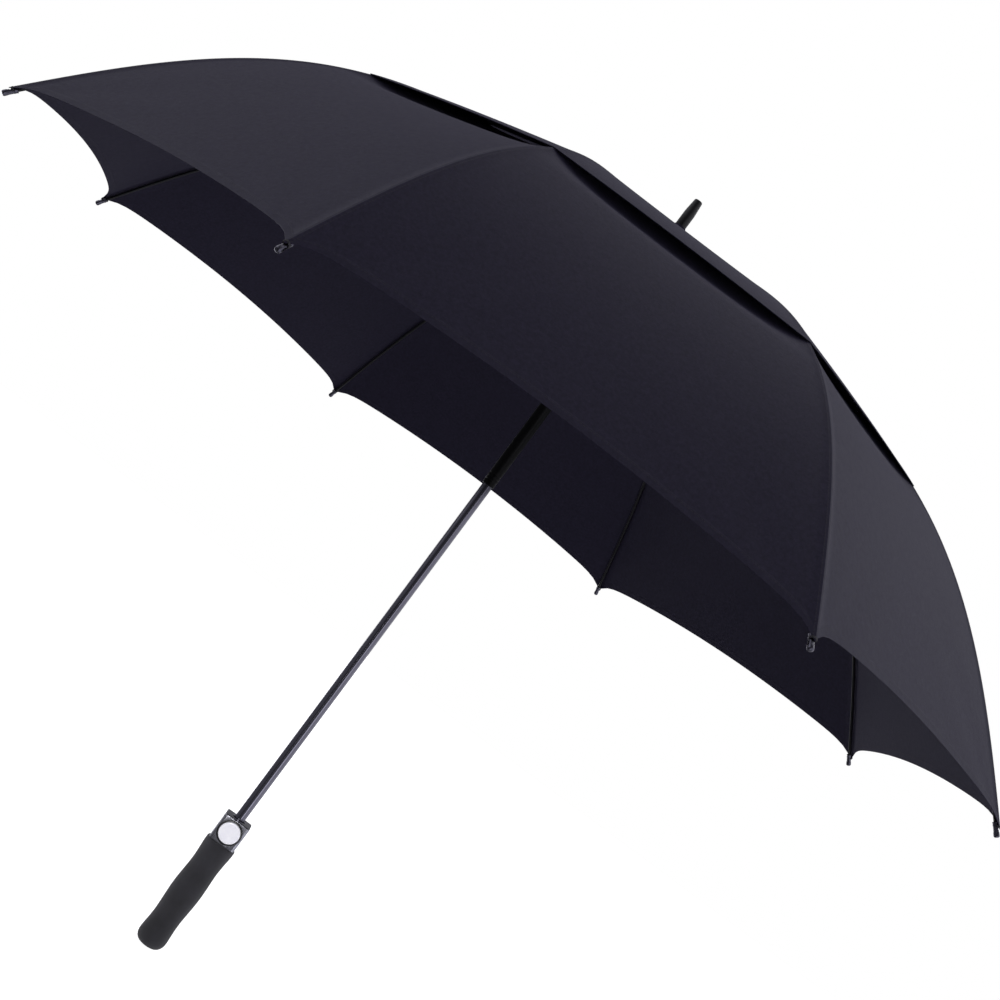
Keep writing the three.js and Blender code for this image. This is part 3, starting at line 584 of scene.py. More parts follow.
def cloth_piece(name, k, side, s, across, depth, drop, hem, body):
    """One sewn piece of cloth from grids of distance along the rib and share across the panel."""
    width = half_width(s)
    seam = np.abs(across) * width
    raise_seam = SEAM_RAISE * smooth(seam, SEAM_HALF + 0.45, SEAM_HALF)
    raise_hem = HEM_RAISE * smooth(hem, HEM_WIDTH + 0.5, HEM_WIDTH)
    layers = np.maximum(raise_seam, raise_hem)
    outer = cloth_point(s, across, depth - layers + ripples(s, across), drop)
    inner = cloth_point(s, across, depth + CLOTH + layers, drop)
    points, faces = shell_from(outer, inner)
    if side < 0:
        faces = [face[::-1] for face in faces]
    points = points @ np.array(rib_matrix(k))[:3, :3].T
    grids = {"across_mm": across * width, "along_mm": s, "seam_mm": seam, "hem_mm": hem}
    return sheet(name, points, faces, grids, body)


def tuck(s):
    """How much closer to the rods the cloth is drawn, between the crown and the vent."""
    return TUCK * np.sin(math.pi * np.clip(s / VENT_AT, 0, 1)) ** 2


def upper_drop(s, across):
    """The upper canopy is taut: it sags a little half way out, and its hem stands up a little."""
    share = np.abs(across)
    sag = UPPER_SAG * np.sin(math.pi * np.clip(s / VENT_AT, 0, 1)) ** 1.3
    return (sag - UPPER_LIFT * smooth(s, VENT_AT - 130, VENT_AT)) * share * (2 - share)


def upper_rows(start, end, hemmed):
    """Distances along the rib of a piece's rows of points, close together on a hem."""
    plain_end = end - (HEM_ROWS[0] if hemmed else 0)
    rows = np.linspace(start, plain_end, max(6, int((plain_end - start) / 6)))
    if hemmed:
        rows = np.concatenate([rows, end - np.array(HEM_ROWS[1:])])
    return rows


def upper_canopy(k):
    """The part of the upper canopy round one rib: a piece near the crown and one out to the hem."""
    for label, start, end, keep in (("inner", UPPER_START, UPPER_SPLIT, INNER_KEEP),
                                    ("outer", UPPER_SPLIT, UPPER_END, OUTER_KEEP)):
        rows = upper_rows(start, end, label == "outer")
        across = columns_for(rows, 0, UPPER_COLUMNS)
        s = np.broadcast_to(rows[:, None], across.shape)
        hem = np.maximum(UPPER_END - s, 0)
        piece = cloth_piece(f"upper_canopy_{k}_{label}", k, 1, s, across, tuck(s), upper_drop(s, across),
                            hem, f"rib_{k}")
        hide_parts("upper_canopy")
        gather_upper(piece)


def gather_upper(piece):
    """Gives the piece a copy of its mesh of its own."""
    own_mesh(piece)


def vent_dip(k, side):
    """Depth of the vent in the panel on one side of a rib. The cloth is a little tighter towards +X."""
    panel = rib_azimuth(k) + side * HALF_PANEL
    return VENT_DIP - VENT_TIGHTENING * max(0.0, math.cos(panel))


def lower_drop(k, s, across):
    """How far the lower canopy lies below the flat panel: a slack middle, and a wide dip at the vent."""
    share = np.abs(across)
    slack = LOWER_SLACK * share * (2 - share)
    depth = np.where(across > 0, vent_dip(k, 1), vent_dip(k, -1))
    dip = depth * (1 - (1 - share) ** 4.5) * (1 - smooth(s, VENT_AT - 2, VENT_AT + 50))
    return slack + dip * (0.2 + 0.8 * smooth(s, LINING_START, LINING_START + 80))


def vent_lining(k):
    """The inner strip of the lower canopy round one rib, under the upper canopy. It rides the inner rib."""
    rows = np.linspace(LINING_START, LOWER_START, 20)
    across = columns_for(rows, 0, UPPER_COLUMNS)
    s = np.broadcast_to(rows[:, None], across.shape)
    depth = LOWER_DEPTH + 0.6 * tuck(s)
    no_hem = np.full(s.shape, 2 * HEM_WIDTH)
    piece = cloth_piece(f"vent_lining_{k}", k, 1, s, across, depth, lower_drop(k, s, across), no_hem,
                        f"rib_{k}")
    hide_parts(f"lower_canopy_{k}")
    gather_upper(piece)


def lower_canopy(k, side):
    """Half of the lower canopy's cloth on one rib, from the rib to mid-panel."""
    shares = np.linspace(0, 1, 62)
    fixed = np.array(HEM_ROWS)
    guess = np.concatenate([LOWER_START + shares * (LOWER_END - 12 - LOWER_START), LOWER_END - fixed[1:]])
    across = columns_for(guess, side, LOWER_COLUMNS)
    share = np.abs(across)
    hook = 1 - np.exp(-share * half_width(LOWER_END) / CORNER_WIDTH)
    end = LOWER_END - SCALLOP * share * (2 - share) - CORNER_HOOK * hook
    plain = LOWER_START + shares[:, None] * (end[: len(shares)] - fixed[0] - LOWER_START)
    s = np.concatenate([plain, end[len(shares):] - fixed[1:, None]])
    label = "left" if side > 0 else "right"
    piece = cloth_piece(f"lower_canopy_{k}_{label}", k, side, s, across, LOWER_DEPTH,
                        lower_drop(k, s, across), end - s, f"outer_rib_{k}")
    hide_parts(f"lower_canopy_{k}")
    flatten_lower(piece)


def flatten_lower(piece):
    """Gives the half panel a copy of its mesh of its own."""
    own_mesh(piece)


# ------------------------------------------------------------------ frame pieces in a rib's plane


def stand(node, piece, body):
    """Puts a piece on its body in the place of a CAD node."""
    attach(piece, body)
    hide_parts(node)


def outline_plate(outline, thickness, bevel=0.25, centre=0.0):
    """A plate in the rib plane from an outline of [x, z], with bevelled rims. Y is its thickness."""
    outline = np.asarray(outline, float)
    before, after = np.roll(outline, 1, axis=0), np.roll(outline, -1, axis=0)
    run = after - before
    normal = np.stack([run[:, 1], -run[:, 0]], axis=1) / np.linalg.norm(run, axis=1)[:, None]
    half = thickness / 2
    rings = []
    for y, inset in ((-half, bevel), (-half + bevel, 0), (half - bevel, 0), (half, bevel)):
        flat = outline - normal * inset
        rings.append(np.stack([flat[:, 0], np.full(len(flat), y + centre), flat[:, 1]], axis=1))
    count = len(outline)
    points = np.concatenate(rings).tolist()
    faces = grid_faces(4, count, wrap=True)
    faces.append(tuple(range(count)))
    faces.append(tuple(range(4 * count - 1, 3 * count - 1, -1)))
    return points, faces


def strap_outline(radius, length, half_width):
    """An eye at the origin and a straight strap from it along X, anticlockwise."""
    meet = math.asin(half_width / radius)
    angles = np.linspace(meet, 2 * math.pi - meet, 18)
    outline = [[radius * math.cos(a), radius * math.sin(a)] for a in angles]
    return outline + [[length, -half_width], [length, half_width]]


def in_plane(shell, pivot, slope):
    """Places a shell drawn along X at a point of the rib plane, sloping down by an angle."""
    place = Matrix.Translation((pivot[0], 0, pivot[1])) @ Matrix.Rotation(slope, 4, "Y")
    return moved(shell, place)


def along_y(profile, sides=20):
    """A turned shell about Y. The profile is [radius, y]."""
    return moved(turned(profile, sides), Matrix.Rotation(-math.pi / 2, 4, "X"))


def rivet(radius, half_length, head):
    """A pin across the rib plane with a domed head at each end."""
    domes = arc((0, half_length - head), head + 0.5, 90, 20, 4)
    top = [[max(r, 0) * (radius / (head + 0.5)), y] for r, y in domes]
    profile = [[0, -half_length - 0.5]] + [[r, -y] for r, y in top[1:]]
    profile += [[r, y] for r, y in reversed(top[1:])] + [[0, half_length + 0.5]]
    return along_y(profile)


def rod_line(start, end, steps):
    s = np.linspace(start, end, steps)
    radius, height = line_at(s, ROD_DEPTH)
    return np.stack([radius, np.zeros_like(radius), height], axis=1), s


def rod_piece(label, body, k, shell, along, holes):
    """A rod with its ends and fittings as one piece. The swept rod comes first in the shell."""
    points, faces = shell
    values = np.zeros(len(points))
    values[: len(along) * ROD_SIDES] = np.repeat(along, ROD_SIDES)
    piece = make_mesh(f"{body}_{label}", points, faces, ROD_M, attributes={"along_mm": values})
    if holes:
        cut_with(piece, holes)
    piece.data.transform(rib_matrix(k))
    stand(body, piece, body)


EYE = 2.4
EYE_HOLE = 1.05
ROD_START = 5.5  # from the eye, inside its flat end
BLADE_END = 10.5
BLADE_HALF = 1.5
BLADE = 2.0  # thickness
FITTING_SIDES = 18
FLEX_GAP = 3.0  # from the sleeve to the flex point
FLEX_BALL = 2.6


def hole_through(pivot):
    """A cutter for the pin's hole across the rib plane."""
    half = 4.0
    shell = along_y([[0, -half], [EYE_HOLE, -half], [EYE_HOLE, half], [0, half]])
    return moved(shell, Matrix.Translation((pivot[0], 0, pivot[1])))


def eye_end():
    """The flat eye at the end of a rod, drawn along X."""
    return outline_plate(strap_outline(EYE, BLADE_END, BLADE_HALF), BLADE)


def rib(k):
    """The inner rod, with its eye at the crown and the sleeve and lug that hold the stretcher."""
    path, s = rod_line(ROD_START, VENT_AT - FLEX_GAP, 60)
    radius = 1.5 + 0.5 * smooth(s, ROD_START, BLADE_END)
    sleeve_path, _ = rod_line(FORK_AT - 11, VENT_AT - FLEX_GAP, 12)
    sleeve = swept(sleeve_path, np.array([2.0, 2.45] + [2.6] * 8 + [2.45, 2.1]), FITTING_SIDES)
    eye = in_plane(eye_end(), CROWN_PIVOT, CROWN_SLOPE)
    lug = outline_plate(strap_outline(EYE, 5.2, 2.3), 3.0, 0.35)
    lug = in_plane(lug, FORK_PIVOT, slope_at(FORK_AT) - math.pi / 2)
    shell = merged(swept(path, radius), sleeve, eye, lug)
    rod_piece("rod", f"rib_{k}", k, shell, s, [hole_through(CROWN_PIVOT), hole_through(FORK_PIVOT)])


def outer_rib(k):
    """The outer rod, from the rounded end in the flex joint to the tip cap."""
    path, s = rod_line(VENT_AT, TIP_AT - 4, 90)
    radius = 2.0 - 0.25 * smooth(s, VENT_AT + 60, TIP_AT)
    ball = turned(arc((0, 0), FLEX_BALL, -90, 90, 10), FITTING_SIDES)
    ball = moved(ball, Matrix.Translation((path[0][0], 0, path[0][2])))
    collar_path, _ = rod_line(VENT_AT + 1, VENT_AT + 12, 8)
    collar_radius = np.array([2.5, 2.55, 2.55, 2.5, 2.45, 2.4, 2.3, 2.1])
    shell = merged(swept(path, radius), ball, swept(collar_path, collar_radius, FITTING_SIDES))
    rod_piece("rod", f"outer_rib_{k}", k, shell, s, ())


def tip_cap(k):
    """A dark nickel cap with a rolled rim, a waist, a domed end and a slot for the cloth's thread."""
    length, outside, bore = 15.0, 3.0, 2.3
    profile = [[0, length - 2.5], [bore, length - 2.5], [bore, 0.3]]
    profile += arc((bore + 0.35, 0.3), 0.35, 180, 360, 6)[1:] + [[2.75, 0.9], [2.75, 3.2]]
    profile += arc((2.7, 3.6), 0.3, -60, 60, 4) + [[2.6, 4.1], [2.65, 9.4], [2.95, 10.2]]
    profile += arc((outside - 1.8, length - 1.8), 1.8, 0, 90, 8) + [[0, length]]
    start = TIP_AT - length + 1.5
    slope = slope_at(start + length / 2)
    cap = moved(turned(profile, 28), Matrix.Rotation(math.pi / 2, 4, "Y"))
    place = np.array(line_at(start, ROD_DEPTH))
    shell = in_plane(cap, place, slope)
    piece = make_mesh(f"rib_tip_{k}_cap", *shell, TIP_M)
    slot = in_plane(block((6.4, 7.6), (-1.6, 1.6), (1.5, 4)), place, slope)
    cut_with(piece, [slot])
    piece.data.transform(rib_matrix(k))
    stand(f"rib_tip_{k}", piece, f"outer_rib_{k}")


def corner_thread(k):
    """Loops of thread that sew the corner of the cloth to the tip cap."""
    shells = []
    turns = np.linspace(0, 2 * math.pi, 25)[:-1]
    for offset in (0.0, 0.7, 1.4):
        s = TIP_AT - 9.6 + offset
        radius, height = line_at(s, ROD_DEPTH - 1.4)
        slope = float(slope_at(s))
        loop = [(radius + 2.9 * math.cos(a) * math.sin(slope), 3.3 * math.sin(a),
                 height + 2.9 * math.cos(a) * math.cos(slope)) for a in turns]
        shells.append(ring_of(loop, 0.28, 6))
    piece = make_mesh(f"corner_thread_{k}", *merged(*shells), THREAD_M)
    piece.data.transform(rib_matrix(k))
    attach(piece, f"outer_rib_{k}")


def ring_of(loop, radius, sides):
    """A closed ring of round section along a loop of points."""
    loop = np.asarray(loop, float)
    tangent = np.roll(loop, -1, axis=0) - np.roll(loop, 1, axis=0)
    tangent /= np.linalg.norm(tangent, axis=1)[:, None]
    out = loop - loop.mean(axis=0)
    out -= np.sum(out * tangent, axis=1)[:, None] * tangent
    out /= np.linalg.norm(out, axis=1)[:, None]
    over = np.cross(tangent, out)
    points, faces = [], []
    for i in range(len(loop)):
        for j in range(sides):
            a = j * 2 * math.pi / sides
            points.append(loop[i] + radius * (math.cos(a) * out[i] + math.sin(a) * over[i]))
            following = (i + 1) % len(loop)
            next_j = (j + 1) % sides
            faces.append((i * sides + j, following * sides + j, following * sides + next_j,
                          i * sides + next_j))
    return points, faces


def stretcher(k):
    """The strut from the runner to the rib, with a flattened eye and a riveted fork."""
    fork_start = LINK - 19
    path = np.array([[x, 0, 0] for x in np.linspace(ROD_START, fork_start - 1, 30)])
    radius = 1.45 + 0.45 * smooth(path[:, 0], ROD_START, BLADE_END + 1)
    socket = swept([[x, 0, 0] for x in np.linspace(fork_start - 16, fork_start - 1, 8)],
                   np.array([2.0, 2.5, 2.65, 2.7, 2.75, 2.8, 2.85, 2.85]), FITTING_SIDES)
    bridge_outline = [[-5, -1.6], [1, -1.9], [1, 1.9], [-5, 1.6]]
    bridge = outline_plate([[fork_start + x, z] for x, z in bridge_outline], 8.2, 0.5)
    ears = []
    for side in (-1, 1):
        outline = [[LINK - x, -z] for x, z in strap_outline(EYE, 19.5, 1.9)]
        ears.append(outline_plate(outline, 1.2, 0.3, side * 3.6))
    pin = moved(rivet(1.25, 4.2, 0.2), Matrix.Translation((LINK, 0, 0)))
    rise = math.atan2(FORK_PIVOT[1] - RUNNER_PIVOT[1], FORK_PIVOT[0] - RUNNER_PIVOT[0])
    shell = merged(swept(path, radius), eye_end(), socket, bridge, *ears, pin)
    shell = in_plane(shell, RUNNER_PIVOT, -rise)
    rod_piece("strut", f"stretcher_{k}", k, shell, path[:, 0], [hole_through(RUNNER_PIVOT)])


# ------------------------------------------------------------------ crown, runner and shaft

HUB = 15.5
NECK = 8.35
SLEEVE_BORE = 6.3
WIRE_ROOM = 1.0
RUNNER_TOP = RUNNER_PIVOT[1] + 9
STOP_PIN_Z = RUNNER_TOP + 2
SET_PIN_Z = 40
PIN_HOLE = 1.8
PLUNGER_Z = 775
SHAFT_RADIUS = 6.0
SHAFT_BORE = 5.0
SHAFT_SLOT = (215.2, 783)  # for the plunger's pin
LATCH_WINDOW = (699.2, 704.2)  # in the open runner


def hub_cutters(bottom, top, pivot_z):
    """Slots for the eight eye ends, and the groove for the ring wire."""
    cutters = []
    for k in range(1, RIB_COUNT + 1):
        slot = block((8.5, 20.5), (-1.35, 1.35), (bottom - 1, top + 1))
        cutters.append(moved(slot, rib_matrix(k)))
    near, far = CROWN_PIVOT[0] - WIRE_ROOM, CROWN_PIVOT[0] + WIRE_ROOM
    low_edge = pivot_z - WIRE_ROOM
    groove = [[near, low_edge], [far, low_edge], [far, top + 1], [near, top + 1], [near, low_edge]]
    return cutters + [turned(groove, 72)]


def hub_piece(name, node, profile, body, cutters):
    piece = make_mesh(name, *turned(profile, 96), PLASTIC_M)
    cut_with(piece, cutters)
    stand(node, piece, body)


def crown():
    """The slotted disc that holds the ribs' eyes, with a short neck under it."""
    bottom, top = low("crown")[2], high("crown")[2]
    under = top - 6
    profile = [[SLEEVE_BORE, bottom], [NECK - 0.5, bottom], [NECK, bottom + 0.5], [NECK, under - 1.6],
               [9.2, under - 0.7], [HUB - 0.6, under], [HUB, under + 0.6], [HUB, top - 0.7],
               [HUB - 0.7, top], [SLEEVE_BORE, top], [SLEEVE_BORE, bottom]]
    hub_piece("crown_notch", "crown", profile, "shaft", hub_cutters(under - 1, top, CROWN_PIVOT[1]))


def runner():
    """Hub and long sleeve in one moulding, with grip rings at the sleeve's lower end."""
    bottom = low("runner")[2]
    under, over = RUNNER_PIVOT[1] - 4.5, RUNNER_PIVOT[1] + 2.6
    sleeve = 7.5
    profile = [[SLEEVE_BORE, bottom], [sleeve - 0.6, bottom], [sleeve, bottom + 0.6]]
    for i in range(3):
        z = bottom + 5 + 4 * i
        profile += [[sleeve, z], [sleeve - 0.35, z + 0.4], [sleeve - 0.35, z + 1.2], [sleeve, z + 1.6]]
    profile += [[sleeve, under - 10], [sleeve + 0.9, under - 7.6], [HUB - 4, under - 3.2],
                [HUB - 0.5, under - 0.2], [HUB, under + 0.6], [HUB, over - 0.6], [HUB - 0.6, over],
                [NECK, over], [NECK, RUNNER_TOP - 0.4], [NECK - 0.4, RUNNER_TOP],
                [SLEEVE_BORE, RUNNER_TOP], [SLEEVE_BORE, bottom]]
    window = block((-2.3, 2.3), (4, 9), LATCH_WINDOW)
    pin_hole = along_y([[0, 4], [1.7, 4], [1.7, 9], [0, 9]], 24)
    pin_hole = moved(pin_hole, Matrix.Translation((0, 0, PLUNGER_Z)))
    cutters = hub_cutters(under - 9, over, RUNNER_PIVOT[1]) + [window, pin_hole]
    hub_piece("runner_sleeve", "runner", profile, "runner", cutters)


def shaft():
    """The drawn tube, with the holes of two cross pins and a slot at the back."""
    bottom, top = low("shaft_tube")[2], high("shaft_tube")[2]
    profile = [[SHAFT_BORE, bottom], [SHAFT_RADIUS, bottom], [SHAFT_RADIUS, top], [SHAFT_BORE, top],
               [SHAFT_BORE, bottom]]
    piece = make_mesh("shaft_drawn_tube", *turned(profile, 80), TUBE_M)
    pin_hole = [[0, -8], [PIN_HOLE, -8], [PIN_HOLE, 8], [0, 8]]
    cut_with(piece, [block((-1.7, 1.7), (3, 8), SHAFT_SLOT), along_x(pin_hole, SET_PIN_Z),
                     along_x(pin_hole, STOP_PIN_Z)])
    stand("shaft_tube", piece, "shaft")


def along_x(profile, z):
    """A turned shell about a line along X at a height. The profile is [radius, x]."""
    lying = Matrix.Translation((0, 0, z)) @ Matrix.Rotation(math.pi / 2, 4, "Y")
    return moved(turned(profile, 24), lying)


def runner_stop():
    """The cross pin over the open runner, with bevelled ends."""
    profile = [[0, -8], [1.1, -8], [1.5, -7.6], [1.5, 7.6], [1.1, 8], [0, 8]]
    piece = make_mesh("runner_stop_pin", *along_x(profile, STOP_PIN_Z), STEEL_M)
    stand("runner_stop", piece, "shaft")


def main_spring():
    """The spring that opens the umbrella. Its turns are closer at both ends."""
    bottom, top = low("main_spring")[2] + 0.2, high("main_spring")[2] - 0.2
    turns, steps_per_turn, wire, radius = 64, 18, 0.4, 4.1
    t = np.linspace(0, 1, turns * steps_per_turn + 1)
    rise = 0.85 * t + 0.15 * smooth(t, -0.02, 1.02)
    rise = (rise - rise[0]) / (rise[-1] - rise[0])
    height = bottom + wire + (top - bottom - 2 * wire) * rise
    angle = 2 * math.pi * turns * t
    path = np.stack([radius * np.cos(angle), radius * np.sin(angle), height], axis=1)
    piece = make_mesh("main_spring_coil", *swept(path, wire, 6, up=(0, 0, 1)), STEEL_M)
    stand("main_spring", piece, "shaft")
    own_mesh(piece)


def ferrule():
    """A moulded spike: a flared skirt over the cloth, a thin groove, a straight body and a tapered end."""
    bottom, top = low("ferrule")[2], high("ferrule")[2]
    stem, inside_top, end_round = 4.7, 966.3, 1.2
    skirt, skirt_bottom, skirt_top = 10.5, 956.9, 979.0
    body, body_top, tip = 6.5, 998.0, 5.0
    corners = np.array([[skirt, skirt_bottom + 1.2], [7.7, skirt_bottom + 8], [7.1, skirt_top]])
    t = np.linspace(0, 1, 12)[:, None]
    flare = (1 - t) ** 2 * corners[0] + 2 * t * (1 - t) * corners[1] + t * t * corners[2]
    profile = [[0, bottom], [stem - 0.5, bottom], [stem, bottom + 0.5], [stem, inside_top],
               [SLEEVE_BORE, inside_top], [SLEEVE_BORE, skirt_bottom], [skirt - 0.3, skirt_bottom],
               [skirt, skirt_bottom + 0.4]]
    profile += flare.tolist()
    profile += [[7.0, skirt_top + 0.3], [body, skirt_top + 0.6], [body - 0.15, skirt_top + 1.6],
                [body, skirt_top + 2.0], [body, body_top], [body - 0.1, body_top + 1.4]]
    profile += arc((tip - end_round, top - end_round), end_round, 0, 90, 7) + [[0, top]]
    piece = make_mesh("ferrule_spike", *turned(profile, 64), FERRULE_M)
    stand("ferrule", piece, "shaft")


def turned_cloth(name, radius, height, waves, pinks, pink_depth):
    """A thin cloth piece turned about the shaft, with a pinked edge and slow waves."""
    sides, thickness = 192, 0.35
    profile = np.stack([radius, height], axis=1)
    run = np.concatenate([[0], np.cumsum(np.hypot(*np.diff(profile, axis=0).T))])
    angles = np.arange(sides) * 2 * math.pi / sides
    rim = (run / run[-1])[:, None]
    radius = profile[:, :1] - pink_depth * rim ** 8 * (0.5 + 0.5 * np.cos(pinks * angles))[None, :]
    height = profile[:, 1:] + waves * rim * np.sin(5 * angles + 2.0 * rim)
    grid = np.stack([radius * np.cos(angles), radius * np.sin(angles), height], axis=-1)
    lower = grid - np.array([0, 0, thickness])
    rows = len(profile)
    count = rows * sides
    faces = grid_faces(rows, sides, wrap=True)
    faces += grid_faces(rows, sides, wrap=True, start=count, flip=True)
    for j in range(sides):
        following = (j + 1) % sides
        last = (rows - 1) * sides
        faces.append((j, count + j, count + following, following))
        faces.append((last + j, last + following, count + last + following, count + last + j))
    along = np.repeat(run, sides)
    grids = {"across_mm": radius * angles, "along_mm": along, "seam_mm": np.full(count, 50.0),
             "hem_mm": run[-1] - along + 5.4}
    points = np.concatenate([grid.reshape(-1, 3), lower.reshape(-1, 3)])
    return sheet(name, points, faces, grids, "shaft")


def top_cap():
    """The cloth cap over the ferrule's skirt, which covers the hole in the middle of the canopy."""
    top, drop = 980.2, 23.0
    t = np.linspace(0, 1, 14)
    radius = 7.15 + 9.6 * t ** 2.6
    turned_cloth("ferrule_top_cap", radius, top - drop * np.sin(t * math.pi / 2), 0.12, 48, 0.5)


def rosette():
    """The pinked cloth washer between the crown and the canopy."""
    height = np.full(8, low("top_rosette")[2] + 0.45)
    piece = turned_cloth("crown_rosette", np.linspace(6.7, 13.9, 8), height, 0.05, 24, 0.8)
    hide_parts("top_rosette")


# ------------------------------------------------------------------ handle


def through_points(knots, steps):
    """A smooth line through points, with a tangent at each from its neighbours."""
    knots = np.asarray(knots, float)
    padded = np.concatenate([2 * knots[:1] - knots[1:2], knots, 2 * knots[-1:] - knots[-2:-1]])
    line = []
    for i in range(len(knots) - 1):
        before, start, end, after = padded[i:i + 4]
        for t in np.linspace(0, 1, steps, endpoint=False):
            square = 2 * before - 5 * start + 4 * end - after
            cube = 3 * start - before - 3 * end + after
            line.append(list(0.5 * (2 * start + (end - before) * t + square * t**2 + cube * t**3)))
    return line + [list(knots[-1])]


def grip():
    """The foam sleeve: waisted twice, with a rounded foot and a soft upper shoulder."""
    top = high("handle_grip")[2]
    bore = 12.9
    foot = [[9 + 8.05 * math.sin(a), 11 - 11 * math.cos(a)] for a in np.radians(np.linspace(0, 84, 14))]
    side = through_points([[17.1, 12.5], [15.9, 36], [17.6, 70], [16.4, 103], [17.9, 127]], 12)
    quarter = np.radians(np.linspace(0, 90, 9))
    shoulder = [[15.9 + 2.0 * math.cos(a), top - 2.6 + 2.6 * math.sin(a)] for a in quarter]
    profile = [[0, 0.0], [7.8, 0.0], [8.1, 0.45], [8.6, 0.45], [8.9, 0.0]]
    profile += foot[1:] + side + shoulder[1:]
    profile += [[bore, top], [bore, 3], [0, 3]]
    piece = make_mesh("handle_foam_grip", *turned(profile, 96), FOAM_M)
    stand("handle_grip", piece, "shaft")


def rounded_square(width, corner):
    inset = width / 2 - corner
    outline = []
    for turn, (x, y) in enumerate(((1, 1), (-1, 1), (-1, -1), (1, -1))):
        for a in np.linspace(turn * math.pi / 2, (turn + 1) * math.pi / 2, 8):
            outline.append([x * inset + corner * math.cos(a), y * inset + corner * math.sin(a)])
    return outline


def prism(levels):
    """A closed upright shell from outlines of equal length at several heights: (outline, z)."""
    count = len(levels[0][0])
    points = [(x, y, z) for outline, z in levels for x, y in outline]
    faces = grid_faces(len(levels), count, wrap=True)
    faces.append(tuple(range(count - 1, -1, -1)))
    last = (len(levels) - 1) * count
    faces.append(tuple(range(last, last + count)))
    return points, faces


BUTTON_AT = float((low("button")[2] + high("button")[2]) / 2)


def at_button(profile, sides=72):
    """A turned shell about the button's line. The profile is [radius, y]."""
    return moved(along_y(profile, sides), Matrix.Translation((0, 0, BUTTON_AT)))


def collar():
    """The square metal collar, with softened edges, the bore for the button and the hole for the shaft."""
    bottom, top = low("handle_collar")[2], high("handle_collar")[2]
    width = float(high("handle_collar")[0] - low("handle_collar")[0])
    face = -width / 2
    rims = ((0.45, bottom), (0.1, bottom + 0.2), (0, bottom + 0.55), (0, top - 1.1), (0.12, top - 0.55),
            (0.5, top - 0.14), (1.1, top))
    levels = [(rounded_square(width - 2 * inset, 3 - inset * 0.5), z) for inset, z in rims]
    piece = make_mesh("handle_square_collar", *prism(levels), COLLAR_M)
    inside = rounded_square(width - 5.3, 1.2)
    ceiling = top - 2.4
    cavity = prism([(inside, bottom - 1), (inside, ceiling)])
    hole = turned([[0, ceiling - 1], [8.1, ceiling - 1], [8.1, top - 0.5], [9.1, top + 0.5], [9.1, top + 1],
                   [0, top + 1]], 80)
    recess = at_button([[0, face - 1], [14.2, face - 1], [14.2, face + 0.5], [12.3, face + 1.2],
                        [12.3, face + 4], [0, face + 4]])
    cut_with(piece, [cavity, hole, recess])
    stand("handle_collar", piece, "shaft")


def bezel():
    """The dark ring that lines the button's bore."""
    face = float(low("handle_collar")[1])
    bore = 12.33
    profile = [[bore, face + 1.1], [bore, face + 0.1], [12.6, face - 0.15], [13.7, face - 0.15],
               [14.0, face + 0.1], [14.1, face + 0.45], [bore, face + 1.1]]
    piece = make_mesh("button_bezel", *at_button(profile), BEZEL_M)
    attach(piece, "shaft")


def button():
    """The round button: a shallow dome with a bright chamfer, and the flange and boss behind it."""
    face, back = low("button")[1], high("button")[1]
    radius = 11.95
    t = np.linspace(0, 1, 14)
    dome = [[(radius - 0.9) * x, face + 0.42 * x**2.4] for x in t]
    rim = [[radius - 0.55, face + 0.62], [radius - 0.2, face + 0.95], [radius, face + 1.4]]
    flange = face + 4.85  # just behind the collar's wall
    profile = dome + rim + [[radius, flange], [radius + 0.7, flange], [radius + 0.7, flange + 0.8],
                            [4, flange + 0.8], [4, back], [0, back]]
    piece = make_mesh("release_button", *at_button(profile, 96), PEARL_M)
    stand("button", piece, "button")


def latch():
    """The latch spring, copied from its CAD node in spring steel. Its foot stands still in the core."""
    mesh = frame["nodes"]["latch_spring"].data.copy()
    mesh.materials.clear()
    mesh.materials.append(STEEL_M)
    piece = bpy.data.objects.new("latch_stirrup", mesh)
    bpy.context.scene.collection.objects.link(piece)
    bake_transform(piece)
    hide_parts("latch_spring")


def carried_over():
    """CAD nodes that keep their shape and get a better material."""
    wanted = {"crown_wire": STEEL_M, "runner_wire": STEEL_M, "spring_plunger": STEEL_M, "set_pin": STEEL_M,
              "spring_seat": PLASTIC_M, "handle_core": PLASTIC_M}
    for node, material in wanted.items():
        mesh = frame["nodes"][node].data
        mesh.materials.clear()
        mesh.materials.append(material)


# ------------------------------------------------------------------ assembly

for rib_number in range(1, RIB_COUNT + 1):
    upper_canopy(rib_number)
    vent_lining(rib_number)
    lower_canopy(rib_number, 1)
    lower_canopy(rib_number, -1)
    rib(rib_number)
    outer_rib(rib_number)
    tip_cap(rib_number)
    corner_thread(rib_number)
    stretcher(rib_number)

crown()
runner()
shaft()
runner_stop()
main_spring()
ferrule()
top_cap()
rosette()
grip()
collar()
bezel()
button()
latch()
carried_over()

# ------------------------------------------------------------------ camera, light and floor


def stand_light(data, place, aim):
    """Puts a lamp at a place in metres, turned to a point."""
    light = bpy.data.objects.new(data.name, data)
    light.location = place
    light.rotation_euler = (Vector(aim) - Vector(place)).to_track_quat("-Z", "Y").to_euler()
    bpy.context.scene.collection.objects.link(light)


def area_light(name, place, aim_height, size, power):
    """A soft box that faces the shaft at a height in metres."""
    data = bpy.data.lights.new(name, "AREA")
    data.shape = "RECTANGLE"
    data.size, data.size_y = size
    data.energy = power
    stand_light(data, place, (0, 0, aim_height))


def handle_spot(power):
    """A narrow spot from the front that only reaches the handle."""
    data = bpy.data.lights.new("handle_spot", "SPOT")
    data.energy = power
    data.spot_size = math.radians(15)
    data.spot_blend = 0.6
    data.shadow_soft_size = 0.15
    stand_light(data, (-0.25, -1.9, 0.5), (0, 0, 0.1))


